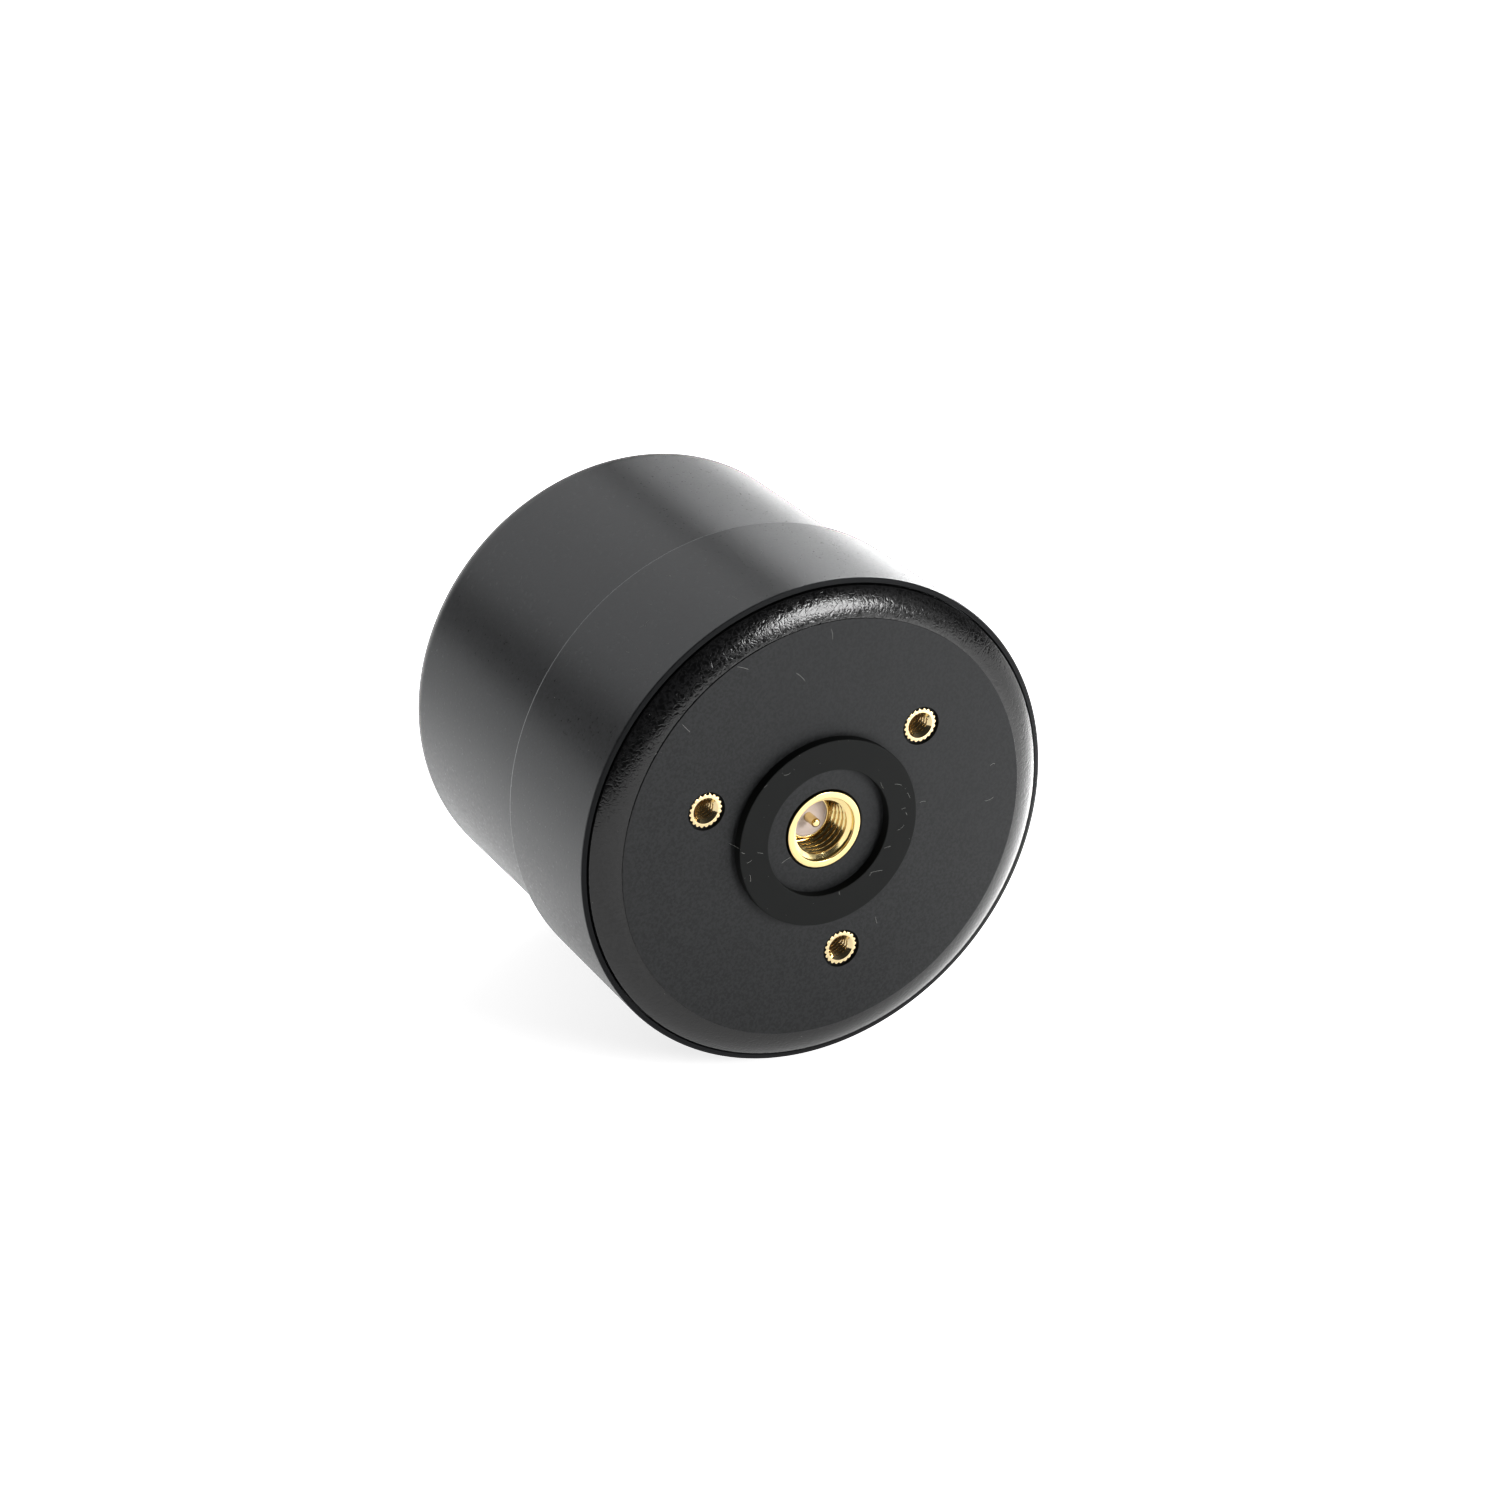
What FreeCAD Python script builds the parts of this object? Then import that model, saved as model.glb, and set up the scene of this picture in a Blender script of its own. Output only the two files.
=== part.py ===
"""Quadrifilar helix antenna: a stepped radome over a base cover with a threaded coaxial socket.

The antenna stands on its rubber gasket, dome up. The origin is on its axis at the lowest plane.
Lengths are in millimetres and angles in degrees. The first brass insert is on the +X side.
"""
import FreeCAD, Part
import os
import re

import Sketcher

doc = FreeCAD.newDocument("helix_antenna")
sheet = doc.addObject("Spreadsheet::Sheet", "Sizes")

SIZES = {
    # Radome, one stepped moulding
    "rim_radius": 25.0,
    "rim_chamfer": 0.25,
    "skirt_height": 16.2,
    "skirt_taper": 0.4,
    "ledge_chamfer": 0.35,
    "ledge_width": 1.0,
    "dome_taper": 0.35,
    "dome_height": 24.95,
    "dome_round": 2.5,
    "radome_wall": 2.2,
    "roof_wall": 2.0,
    "roof_chamfer": 1.0,
    "skirt_wall": 2.3,
    "lip_depth": 1.6,
    "lip_wall": 0.5,
    # Snap ring between the radome and the base cover
    "snap_setback": 0.9,
    "snap_height": 0.4,
    "snap_play": 0.1,
    # Gasket ring
    "gasket_thickness": 1.0,
    "gasket_outer_radius": 9.65,
    "gasket_inner_radius": 6.55,
    # Base cover
    "rim_setback": 1.6,
    "pad_step": 0.12,
    "bevel_radius": 3.7,
    "bevel_width": 2.83,
    "lip_gap": 0.12,
    "plug_gap": 0.2,
    "cover_floor": 2.4,
    "plug_height": 4.8,
    "plug_wall": 2.6,
    "rib_thickness": 1.2,
    "rib_height": 1.6,
    # Seal ring and its groove
    "seal_section": 1.3,
    "seal_play": 0.05,
    "seal_level": 1.5,
    "seal_groove_width": 1.6,
    # Brass inserts
    "insert_count": 3,
    "insert_circle_radius": 13.55,
    "insert_radius": 1.76,
    "insert_length": 4.5,
    "insert_sink": 0.15,
    "insert_bore_radius": 1.03,
    "insert_mouth_radius": 1.3,
    "insert_waist_depth": 0.25,
    "insert_waist_width": 0.8,
    "insert_teeth": 20,
    "insert_tooth_depth": 0.16,
    "insert_notch_width": 0.3,
    "insert_fit": 0.02,
    "insert_mouth_gap": 0.2,
    "insert_mouth_depth": 0.6,
    "insert_relief": 0.4,
    "insert_boss_wall": 1.5,
    # Coaxial connector
    "connector_proud": 0.15,
    "sleeve_radius": 3.94,
    "sleeve_gap": 0.18,
    "socket_mouth_radius": 3.27,
    "socket_lead": 0.45,
    "socket_lead_cone": 0.3,
    "socket_bore_radius": 2.8,
    "socket_depth": 4.5,
    "ferrule_radius": 2.32,
    "ferrule_depth": 3.15,
    "insulator_radius": 2.05,
    "insulator_recess": 0.06,
    "insulator_fit": 0.01,
    "pin_radius": 0.46,
    "pin_depth": 1.5,
    "pin_round": 0.25,
    "pin_fit": 0.01,
    "flange_radius": 5.4,
    "flange_thickness": 1.2,
    "block_side": 7.2,
    "leg_radius": 0.45,
    "leg_offset": 2.54,
    "leg_stickout": 0.6,
    # Amplifier board and its screws
    "board_gap": 1.1,
    "board_thickness": 1.2,
    "hole_play": 0.12,
    "screw_count": 3,
    "screw_radius": 0.95,
    "screw_fit": 0.02,
    "screw_length": 6.2,
    "screw_head_radius": 1.9,
    "screw_head_height": 1.3,
    "screw_slot_width": 0.5,
    "screw_slot_depth": 0.7,
    "screw_boss_radius": 2.3,
    "screw_boss_gap": 0.2,
    "screw_pilot_relief": 0.6,
    # Parts soldered to the board
    "can_length": 8.0,
    "can_width": 4.6,
    "can_height": 2.4,
    "can_wall": 0.25,
    "can_gap": 0.4,
    "amplifier_side": 2.6,
    "amplifier_height": 0.9,
    "amplifier_offset": 1.9,
    "filter_length": 3.0,
    "filter_width": 2.5,
    "filter_height": 1.1,
    "filter_offset": 1.9,
    "regulator_length": 2.9,
    "regulator_width": 1.6,
    "regulator_height": 1.1,
    "regulator_offset": 7.0,
    # Helix on its former
    "former_gap": 0.5,
    "former_wall": 1.4,
    "lug_thickness": 1.4,
    "lug_radius": 2.6,
    "film_thickness": 0.12,
    "film_margin": 0.4,
    "arm_count": 4,
    "arm_width": 2.8,
    "arm_thickness": 0.18,
    "arm_fit": 0.03,
    "arm_turns": 0.5,
    "arm_margin": 1.0,
    "crown_board_thickness": 0.8,
    "foam_inset": 2.0,
    "foam_thickness": 1.95,
}

# Levels above the lowest plane
PAD = "gasket_thickness"
RIM = f"{PAD} + rim_setback"
SEAT = f"{RIM} + lip_depth"
LEDGE = f"{RIM} + skirt_height"
SHOULDER = f"{LEDGE} - radome_wall"
TOP = f"{LEDGE} + dome_height"
CEILING = f"{TOP} - roof_wall"
FLOOR = f"{PAD} + cover_floor"
BOARD = f"{SEAT} + plug_height"
DECK = f"{BOARD} + board_thickness"
CROWN = f"{CEILING} - foam_thickness - crown_board_thickness"
LUG_TOP = f"{DECK} + lug_thickness"
SNAP = f"{BOARD} - snap_setback"
SEAL = f"{SEAT} + seal_level"
MOUTH = f"{PAD} - connector_proud"
INSERT_FOOT = f"{PAD} + insert_sink"

# Radii that follow the rim or that two pieces share
LEDGE_RADIUS = "(rim_radius - skirt_taper)"
DOME_FOOT = f"({LEDGE_RADIUS} - ledge_width)"
DOME_HEAD = f"({DOME_FOOT} - dome_taper)"
BORE_RADIUS = "(rim_radius - skirt_wall)"
COVER_RADIUS = "(rim_radius - lip_wall - lip_gap)"
PAD_RADIUS = f"({COVER_RADIUS} - bevel_width)"
BEVEL_DROP = "(bevel_radius - sqrt(bevel_radius ^ 2 - bevel_width ^ 2))"
PLUG_RADIUS = f"({BORE_RADIUS} - plug_gap)"
PLUG_INSIDE = f"({PLUG_RADIUS} - plug_wall)"
SNAP_RADIUS = f"({PLUG_RADIUS} + snap_height)"
SEAL_RADIUS = f"({BORE_RADIUS} - seal_play - seal_section / 2)"
POCKET_RADIUS = "(insert_radius + insert_fit)"
SCREW_CIRCLE = f"({PLUG_INSIDE} - screw_boss_gap - screw_boss_radius)"
BOARD_RADIUS = f"({BORE_RADIUS} - board_gap)"
FORMER_RADIUS = f"({SCREW_CIRCLE} - screw_head_radius - former_gap)"
FILM_RADIUS = f"({FORMER_RADIUS} + film_thickness)"
CAN_OFFSET = "(leg_offset + leg_radius + hole_play + can_gap + can_width / 2)"


def fill_sheet():
    """Write each driving dimension to its own cell and name the cell."""
    for row, (name, value) in enumerate(SIZES.items(), start=1):
        sheet.set(f"A{row}", name)
        sheet.set(f"B{row}", str(value))
        sheet.setAlias(f"B{row}", name)
    doc.recompute()


def bound(formula):
    """The formula with each sheet name led by the sheet's own name."""
    def lead(match):
        return f"Sizes.{match.group()}" if match.group() in SIZES else match.group()
    return re.sub(r"[a-z][a-z_]*", lead, formula)


def number(formula):
    """The value of a formula in sheet names."""
    return float(sheet.evalExpression(bound(formula)))


def make_body(name):
    """A body labelled with its node's name."""
    body = doc.addObject("PartDesign::Body", name)
    body.Label = name
    return body


def origin_feature(body, role):
    """One of the body's own origin planes or axes."""
    return next(item for item in body.Origin.OriginFeatures if item.Role == role)


def make_sketch(body, name, plane="XZ_Plane", level=None):
    """A sketch on one of the body's origin planes, raised along its normal where a level is given."""
    sketch = body.newObject("Sketcher::SketchObject", name)
    sketch.AttachmentSupport = [(origin_feature(body, plane), "")]
    sketch.MapMode = "FlatFace"
    if level is not None:
        sketch.setExpression("AttachmentOffset.Base.z", bound(level))
    return sketch


def tie(sketch, kind, references, formula):
    """A dimension of the sketch that follows a formula."""
    index = sketch.addConstraint(Sketcher.Constraint(kind, *references, number(formula)))
    sketch.setExpression(f"Constraints[{index}]", bound(formula))


def hold(sketch, curve, end, place):
    """Ties one point of a curve to a place given as two formulas."""
    tie(sketch, "DistanceX", (curve, end), place[0])
    tie(sketch, "DistanceY", (curve, end), place[1])


def nearest_end(sketch, curve, target):
    """The end of a curve, 1 or 2, that lies at the target."""
    return min((1, 2), key=lambda end: sketch.getPoint(curve, end).distanceToPoint(target))


def outline(sketch, corners, arc_centres=None):
    """A closed outline through the corners, each a place given as two formulas.

    arc_centres names the corners that an arc leaves from, with the centre of each arc.
    """
    arc_centres = arc_centres or {}
    points = [FreeCAD.Vector(number(x), number(y), 0) for x, y in corners]
    curves = []
    for index, start in enumerate(points):
        finish = points[(index + 1) % len(points)]
        if index in arc_centres:
            centre = FreeCAD.Vector(*[number(text) for text in arc_centres[index]], 0)
            outward = ((start + finish) * 0.5 - centre).normalize()
            shape = Part.Arc(start, centre + outward * centre.distanceToPoint(start), finish)
        else:
            shape = Part.LineSegment(start, finish)
        curves.append(sketch.addGeometry(shape, False))
    for index, curve in enumerate(curves):
        after = (index + 1) % len(curves)
        ends = [nearest_end(sketch, item, points[after]) for item in (curve, curves[after])]
        sketch.addConstraint(Sketcher.Constraint("Coincident", curve, ends[0], curves[after], ends[1]))
        hold(sketch, curves[after], ends[1], corners[after])
    for index, centre in arc_centres.items():
        tie(sketch, "DistanceY", (curves[index], 3), centre[1])


def circle(sketch, radius, place=("0", "0")):
    """A circle about a place, its radius and place given as formulas."""
    centre = FreeCAD.Vector(number(place[0]), number(place[1]), 0)
    curve = sketch.addGeometry(Part.Circle(centre, FreeCAD.Vector(0, 0, 1), number(radius)), False)
    tie(sketch, "Radius", (curve,), radius)
    hold(sketch, curve, 3, place)


def rectangle(sketch, left, right, bottom, top):
    """A rectangle between four formulas."""
    outline(sketch, [(left, bottom), (right, bottom), (right, top), (left, top)])


def turned(body, name, corners, arc_centres=None):
    """A solid turned about the body's Z axis from a half section."""
    sketch = make_sketch(body, f"{name}_section")
    outline(sketch, corners, arc_centres)
    feature = body.newObject("PartDesign::Revolution", name)
    feature.Profile = sketch
    feature.ReferenceAxis = (sketch, ["V_Axis"])
    feature.Angle = 360
    return feature


def pad(body, name, sketch, length):
    """Material added above a sketch."""
    feature = body.newObject("PartDesign::Pad", name)
    feature.Profile = sketch
    feature.setExpression("Length", bound(length))
    return feature


def pocket(body, name, sketch, depth, upward=False):
    """Material taken away below a sketch, or above it."""
    feature = body.newObject("PartDesign::Pocket", name)
    feature.Profile = sketch
    feature.Reversed = upward
    feature.setExpression("Length", bound(depth))
    return feature


def ring_of(body, feature, count):
    """Copies of a feature spaced evenly about the body's Z axis."""
    pattern = body.newObject("PartDesign::PolarPattern", f"{feature.Name}_ring")
    pattern.Originals = [feature]
    pattern.Axis = (origin_feature(body, "Z_Axis"), [""])
    pattern.Angle = 360
    pattern.setExpression("Occurrences", bound(count))
    body.Tip = pattern
    return pattern


def place_on_circle(item, radius, angle, level):
    """Moves a piece to a place on a circle about the antenna's axis, turned to face outward."""
    turn = FreeCAD.Rotation(FreeCAD.Vector(0, 0, 1), angle)
    item.Placement = FreeCAD.Placement(turn.multVec(FreeCAD.Vector(radius, 0, 0)), turn)
    item.Placement.Base.z = number(level)


def cylinder(name, radius, height, level):
    """A plain disc on the antenna's axis."""
    item = doc.addObject("Part::Cylinder", name)
    item.Label = name
    item.setExpression("Radius", bound(radius))
    item.setExpression("Height", bound(height))
    item.setExpression("Placement.Base.z", bound(level))
    return item


def box(name, length, width, height, place):
    """A block whose lower face is centred on a place given as three formulas."""
    item = doc.addObject("Part::Box", name)
    item.Label = name
    item.setExpression("Length", bound(length))
    item.setExpression("Width", bound(width))
    item.setExpression("Height", bound(height))
    item.setExpression("Placement.Base.x", bound(f"{place[0]} - ({length}) / 2"))
    item.setExpression("Placement.Base.y", bound(f"{place[1]} - ({width}) / 2"))
    item.setExpression("Placement.Base.z", bound(place[2]))
    return item


def make_radome():
    """The stepped outer shell, with a thin lip round its mouth and a snap groove in its bore."""
    body = make_body("radome")
    inner_head = f"{DOME_HEAD} - radome_wall"
    corners = [
        ("rim_radius - lip_wall", RIM),
        ("rim_radius - rim_chamfer", RIM),
        ("rim_radius", f"{RIM} + rim_chamfer"),
        (LEDGE_RADIUS, f"{LEDGE} - ledge_chamfer"),
        (f"{LEDGE_RADIUS} - ledge_chamfer", LEDGE),
        (DOME_FOOT, LEDGE),
        (DOME_HEAD, f"{TOP} - dome_round"),
        (f"{DOME_HEAD} - dome_round", TOP),
        ("0", TOP),
        ("0", CEILING),
        (f"{inner_head} - roof_chamfer", CEILING),
        (inner_head, f"{CEILING} - roof_chamfer"),
        (f"{DOME_FOOT} - radome_wall", SHOULDER),
        (BORE_RADIUS, SHOULDER),
        (BORE_RADIUS, f"{SNAP} + snap_height + snap_play"),
        (f"{SNAP_RADIUS} + snap_play", SNAP),
        (BORE_RADIUS, f"{SNAP} - snap_height - snap_play"),
        (BORE_RADIUS, SEAT),
        ("rim_radius - lip_wall", SEAT),
    ]
    turned(body, "shell", corners, {6: (f"{DOME_HEAD} - dome_round", f"{TOP} - dome_round")})
    return body


def make_base_cover():
    """The bevelled cover that plugs into the radome, with insert bosses, screw bosses and ribs."""
    body = make_body("base_cover")
    bevel_top = f"{PAD} + pad_step"
    half_groove = "seal_groove_width / 2"
    groove_floor = f"{SEAL_RADIUS} - seal_section / 2 - seal_play"
    corners = [
        ("sleeve_radius + sleeve_gap", PAD),
        (PAD_RADIUS, PAD),
        (PAD_RADIUS, bevel_top),
        (COVER_RADIUS, f"{bevel_top} + {BEVEL_DROP}"),
        (COVER_RADIUS, SEAT),
        (PLUG_RADIUS, SEAT),
        (PLUG_RADIUS, f"{SEAL} - {half_groove}"),
        (groove_floor, f"{SEAL} - {half_groove}"),
        (groove_floor, f"{SEAL} + {half_groove}"),
        (PLUG_RADIUS, f"{SEAL} + {half_groove}"),
        (PLUG_RADIUS, f"{SNAP} - snap_height"),
        (SNAP_RADIUS, SNAP),
        (PLUG_RADIUS, f"{SNAP} + snap_height"),
        (PLUG_RADIUS, BOARD),
        (PLUG_INSIDE, BOARD),
        (PLUG_INSIDE, FLOOR),
        ("sleeve_radius + sleeve_gap", FLOOR),
    ]
    turned(body, "cup", corners, {2: (PAD_RADIUS, f"{bevel_top} + bevel_radius")})

    insert_place = ("insert_circle_radius", "0")
    boss = make_sketch(body, "insert_boss_outline", "XY_Plane", FLOOR)
    circle(boss, f"{POCKET_RADIUS} + insert_boss_wall", insert_place)
    boss_height = "insert_sink + insert_length + insert_relief + insert_boss_wall - cover_floor"
    ring_of(body, pad(body, "insert_boss", boss, boss_height), "insert_count")

    screw_place = (f"-{SCREW_CIRCLE}", "0")
    post = make_sketch(body, "screw_boss_outline", "XY_Plane", FLOOR)
    circle(post, "screw_boss_radius", screw_place)
    ring_of(body, pad(body, "screw_boss", post, f"{BOARD} - ({FLOOR})"), "screw_count")

    rib = make_sketch(body, "rib_outline", "XY_Plane", FLOOR)
    rectangle(rib, f"-{SCREW_CIRCLE}", "-flange_radius - plug_gap", "-rib_thickness / 2", "rib_thickness / 2")
    ring_of(body, pad(body, "rib", rib, "rib_height"), "screw_count")

    mouth = make_sketch(body, "insert_mouth_outline", "XY_Plane", PAD)
    circle(mouth, "insert_radius + insert_mouth_gap", insert_place)
    ring_of(body, pocket(body, "insert_mouth", mouth, "insert_mouth_depth", upward=True), "insert_count")

    seat = make_sketch(body, "insert_pocket_outline", "XY_Plane", PAD)
    circle(seat, POCKET_RADIUS, insert_place)
    pocket_depth = "insert_sink + insert_length + insert_relief"
    ring_of(body, pocket(body, "insert_pocket", seat, pocket_depth, upward=True), "insert_count")

    pilot = make_sketch(body, "screw_pilot_outline", "XY_Plane", BOARD)
    circle(pilot, "screw_radius + screw_fit", screw_place)
    pilot_depth = "screw_length + screw_pilot_relief - lug_thickness - board_thickness"
    ring_of(body, pocket(body, "screw_pilot", pilot, pilot_depth), "screw_count")
    return body


def make_gasket():
    """The flat rubber ring on the base cover's pad."""
    body = make_body("gasket_ring")
    sketch = make_sketch(body, "gasket_outline", "XY_Plane")
    circle(sketch, "gasket_outer_radius")
    circle(sketch, "gasket_inner_radius")
    pad(body, "gasket", sketch, "gasket_thickness")
    return body


def make_seal_ring():
    """The square seal between the base cover's plug and the radome's bore."""
    body = make_body("seal_ring")
    inside = f"{SEAL_RADIUS} - seal_section / 2"
    outside = f"{SEAL_RADIUS} + seal_section / 2"
    foot = f"{SEAL} - seal_section / 2"
    head = f"{SEAL} + seal_section / 2"
    turned(body, "seal", [(inside, foot), (outside, foot), (outside, head), (inside, head)])
    return body


def make_insert(index):
    """A knurled brass insert with a waist, its mouth down in the pad."""
    body = make_body(f"brass_insert_{index + 1}")
    mouth_chamfer = "insert_mouth_radius - insert_bore_radius"
    waist = "insert_radius - insert_waist_depth"
    middle = "insert_length / 2"
    corners = [
        ("insert_mouth_radius", "0"),
        ("insert_radius", "0"),
        ("insert_radius", f"{middle} - insert_waist_width / 2"),
        (waist, f"{middle} - insert_waist_width / 2"),
        (waist, f"{middle} + insert_waist_width / 2"),
        ("insert_radius", f"{middle} + insert_waist_width / 2"),
        ("insert_radius", "insert_length"),
        ("insert_bore_radius", "insert_length"),
        ("insert_bore_radius", mouth_chamfer),
    ]
    turned(body, f"insert_blank_{index + 1}", corners)
    notch = make_sketch(body, f"notch_outline_{index + 1}", "XY_Plane")
    reach = "insert_radius + insert_fit"
    half_notch = "insert_notch_width / 2"
    outline(notch, [("insert_radius - insert_tooth_depth", "0"), (reach, f"-{half_notch}"), (reach, half_notch)])
    cut = pocket(body, f"notch_{index + 1}", notch, "insert_length", upward=True)
    ring_of(body, cut, "insert_teeth")
    angle = 360 / number("insert_count") * index
    place_on_circle(body, number("insert_circle_radius"), angle, INSERT_FOOT)
    return body


def make_connector_body():
    """The gold-plated sleeve with its ferrule, flange, square block and four solder legs."""
    body = make_body("connector_body")
    flange_top = f"{FLOOR} + flange_thickness"
    corners = [
        ("insulator_radius", f"{MOUTH} + ferrule_depth"),
        ("ferrule_radius", f"{MOUTH} + ferrule_depth"),
        ("ferrule_radius", f"{MOUTH} + socket_depth"),
        ("socket_bore_radius", f"{MOUTH} + socket_depth"),
        ("socket_bore_radius", f"{MOUTH} + socket_lead + socket_lead_cone"),
        ("socket_mouth_radius", f"{MOUTH} + socket_lead"),
        ("socket_mouth_radius", MOUTH),
        ("sleeve_radius", MOUTH),
        ("sleeve_radius", FLOOR),
        ("flange_radius", FLOOR),
        ("flange_radius", flange_top),
        ("block_side / 2", flange_top),
        ("block_side / 2", BOARD),
        ("insulator_radius", BOARD),
    ]
    turned(body, "sleeve", corners)
    block = make_sketch(body, "block_outline", "XY_Plane", flange_top)
    rectangle(block, "-block_side / 2", "block_side / 2", "-block_side / 2", "block_side / 2")
    circle(block, "(socket_bore_radius + block_side / 2) / 2")
    pad(body, "block", block, f"{BOARD} - ({flange_top})")
    leg = make_sketch(body, "leg_outline", "XY_Plane", BOARD)
    circle(leg, "leg_radius", ("leg_offset", "leg_offset"))
    legs = pad(body, "leg", leg, "board_thickness + leg_stickout")
    ring_of(body, legs, "4")
    return body


def make_insulator():
    """The pale dielectric core of the socket, drilled for the pin."""
    body = make_body("connector_insulator")
    foot = f"{MOUTH} + ferrule_depth + insulator_recess"
    sketch = make_sketch(body, "insulator_outline", "XY_Plane", foot)
    circle(sketch, "insulator_radius - insulator_fit")
    circle(sketch, "pin_radius + pin_fit")
    pad(body, "insulator", sketch, f"{BOARD} - ({foot})")
    return body


def make_pin():
    """The centre pin, rounded at its mating end and soldered through the board."""
    body = make_body("connector_pin")
    tip = f"{MOUTH} + pin_depth"
    tail = f"{DECK} + leg_stickout"
    corners = [
        ("0", tip),
        ("pin_radius - pin_round", tip),
        ("pin_radius", f"{tip} + pin_round"),
        ("pin_radius", tail),
        ("0", tail),
    ]
    turned(body, "contact", corners, {1: ("pin_radius - pin_round", f"{tip} + pin_round")})
    return body


def make_board():
    """The round amplifier board, drilled for the screws, the legs and the pin."""
    body = make_body("amplifier_board")
    sketch = make_sketch(body, "board_outline", "XY_Plane", BOARD)
    circle(sketch, BOARD_RADIUS)
    circle(sketch, "pin_radius + hole_play")
    blank = pad(body, "board_blank", sketch, "board_thickness")
    drilled = make_sketch(body, "screw_hole_outline", "XY_Plane", BOARD)
    circle(drilled, "screw_radius + hole_play", (f"-{SCREW_CIRCLE}", "0"))
    ring_of(body, pocket(body, "screw_hole", drilled, "board_thickness", upward=True), "screw_count")
    leg_hole = make_sketch(body, "leg_hole_outline", "XY_Plane", BOARD)
    circle(leg_hole, "leg_radius + hole_play", ("leg_offset", "leg_offset"))
    ring_of(body, pocket(body, "leg_hole", leg_hole, "board_thickness", upward=True), "4")
    return body


def make_screw(index):
    """A pan-head screw that holds the former's lug and the board to the base cover."""
    body = make_body(f"board_screw_{index + 1}")
    corners = [
        ("0", "-screw_length"),
        ("screw_radius", "-screw_length + screw_radius"),
        ("screw_radius", "0"),
        ("screw_head_radius", "0"),
        ("screw_head_radius", "screw_head_height / 2"),
        ("screw_head_radius - screw_head_height / 2", "screw_head_height"),
        ("0", "screw_head_height"),
    ]
    turned(body, f"screw_blank_{index + 1}", corners)
    slot = make_sketch(body, f"slot_outline_{index + 1}", "XY_Plane", "screw_head_height")
    half = "screw_slot_width / 2"
    rectangle(slot, "-screw_head_radius", "screw_head_radius", f"-{half}", half)
    pocket(body, f"slot_{index + 1}", slot, "screw_slot_depth")
    angle = 180 + 360 / number("screw_count") * index
    place_on_circle(body, number(SCREW_CIRCLE), angle, LUG_TOP)
    return body


def make_shield_can():
    """The folded tin can over the amplifier chip and the filter, open towards the board."""
    place = ("0", CAN_OFFSET, DECK)
    outer = box("can_outside", "can_length", "can_width", "can_height", place)
    inner = box("can_inside", "can_length - 2 * can_wall", "can_width - 2 * can_wall",
                "can_height - can_wall", place)
    can = doc.addObject("Part::Cut", "shield_can")
    can.Label = "shield_can"
    can.Base = outer
    can.Tool = inner
    return can


def make_chips():
    """The amplifier and filter under the can, and the regulator opposite."""
    return [
        box("amplifier_chip", "amplifier_side", "amplifier_side", "amplifier_height",
            ("-amplifier_offset", CAN_OFFSET, DECK)),
        box("band_filter", "filter_length", "filter_width", "filter_height",
            ("filter_offset", CAN_OFFSET, DECK)),
        box("regulator_chip", "regulator_length", "regulator_width", "regulator_height",
            ("0", "-regulator_offset", DECK)),
    ]


def make_former():
    """The plastic tube that carries the helix, with three screw lugs at its foot."""
    body = make_body("helix_former")
    tube = make_sketch(body, "former_outline", "XY_Plane", DECK)
    circle(tube, FORMER_RADIUS)
    circle(tube, f"{FORMER_RADIUS} - former_wall")
    pad(body, "former_tube", tube, f"{CROWN} - ({DECK})")
    tab = make_sketch(body, "lug_outline", "XY_Plane", DECK)
    inside = f"former_wall / 2 - {FORMER_RADIUS}"
    centre = (f"-{SCREW_CIRCLE}", "0")
    corners = [(inside, "-lug_radius"), (inside, "lug_radius"), (centre[0], "lug_radius"),
               (f"{centre[0]} - lug_radius", "0"), (centre[0], "-lug_radius")]
    outline(tab, corners, {2: centre, 3: centre})
    ring_of(body, pad(body, "lug", tab, "lug_thickness"), "screw_count")
    drilled = make_sketch(body, "lug_hole_outline", "XY_Plane", DECK)
    circle(drilled, "screw_radius + hole_play", (f"-{SCREW_CIRCLE}", "0"))
    ring_of(body, pocket(body, "lug_hole", drilled, "lug_thickness", upward=True), "screw_count")
    return body


def make_film():
    """The flexible film wrapped round the former, which carries the four arms."""
    body = make_body("helix_film")
    sketch = make_sketch(body, "film_outline", "XY_Plane", f"{LUG_TOP} + film_margin")
    circle(sketch, FILM_RADIUS)
    circle(sketch, FORMER_RADIUS)
    pad(body, "film", sketch, f"{CROWN} - ({LUG_TOP}) - 2 * film_margin")
    return body


def make_arm(index):
    """One copper arm: a thin strip that climbs the film as a helix."""
    body = make_body(f"helix_arm_{index + 1}")
    foot = f"{LUG_TOP} + film_margin + arm_margin"
    sketch = make_sketch(body, f"arm_section_{index + 1}")
    inside = f"{FILM_RADIUS} + arm_fit"
    rectangle(sketch, inside, f"{inside} + arm_thickness", foot, f"{foot} + arm_width")
    strip = body.newObject("PartDesign::AdditiveHelix", f"strip_{index + 1}")
    strip.Profile = sketch
    strip.ReferenceAxis = (sketch, ["V_Axis"])
    strip.Mode = "height-turns-angle"
    climb = f"{CROWN} - ({LUG_TOP}) - 2 * film_margin - 2 * arm_margin - arm_width"
    strip.setExpression("Height", bound(climb))
    strip.setExpression("Turns", bound("arm_turns"))
    angle = 360 / number("arm_count") * index
    body.Placement = FreeCAD.Placement(FreeCAD.Vector(), FreeCAD.Rotation(FreeCAD.Vector(0, 0, 1), angle))
    return body


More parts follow.
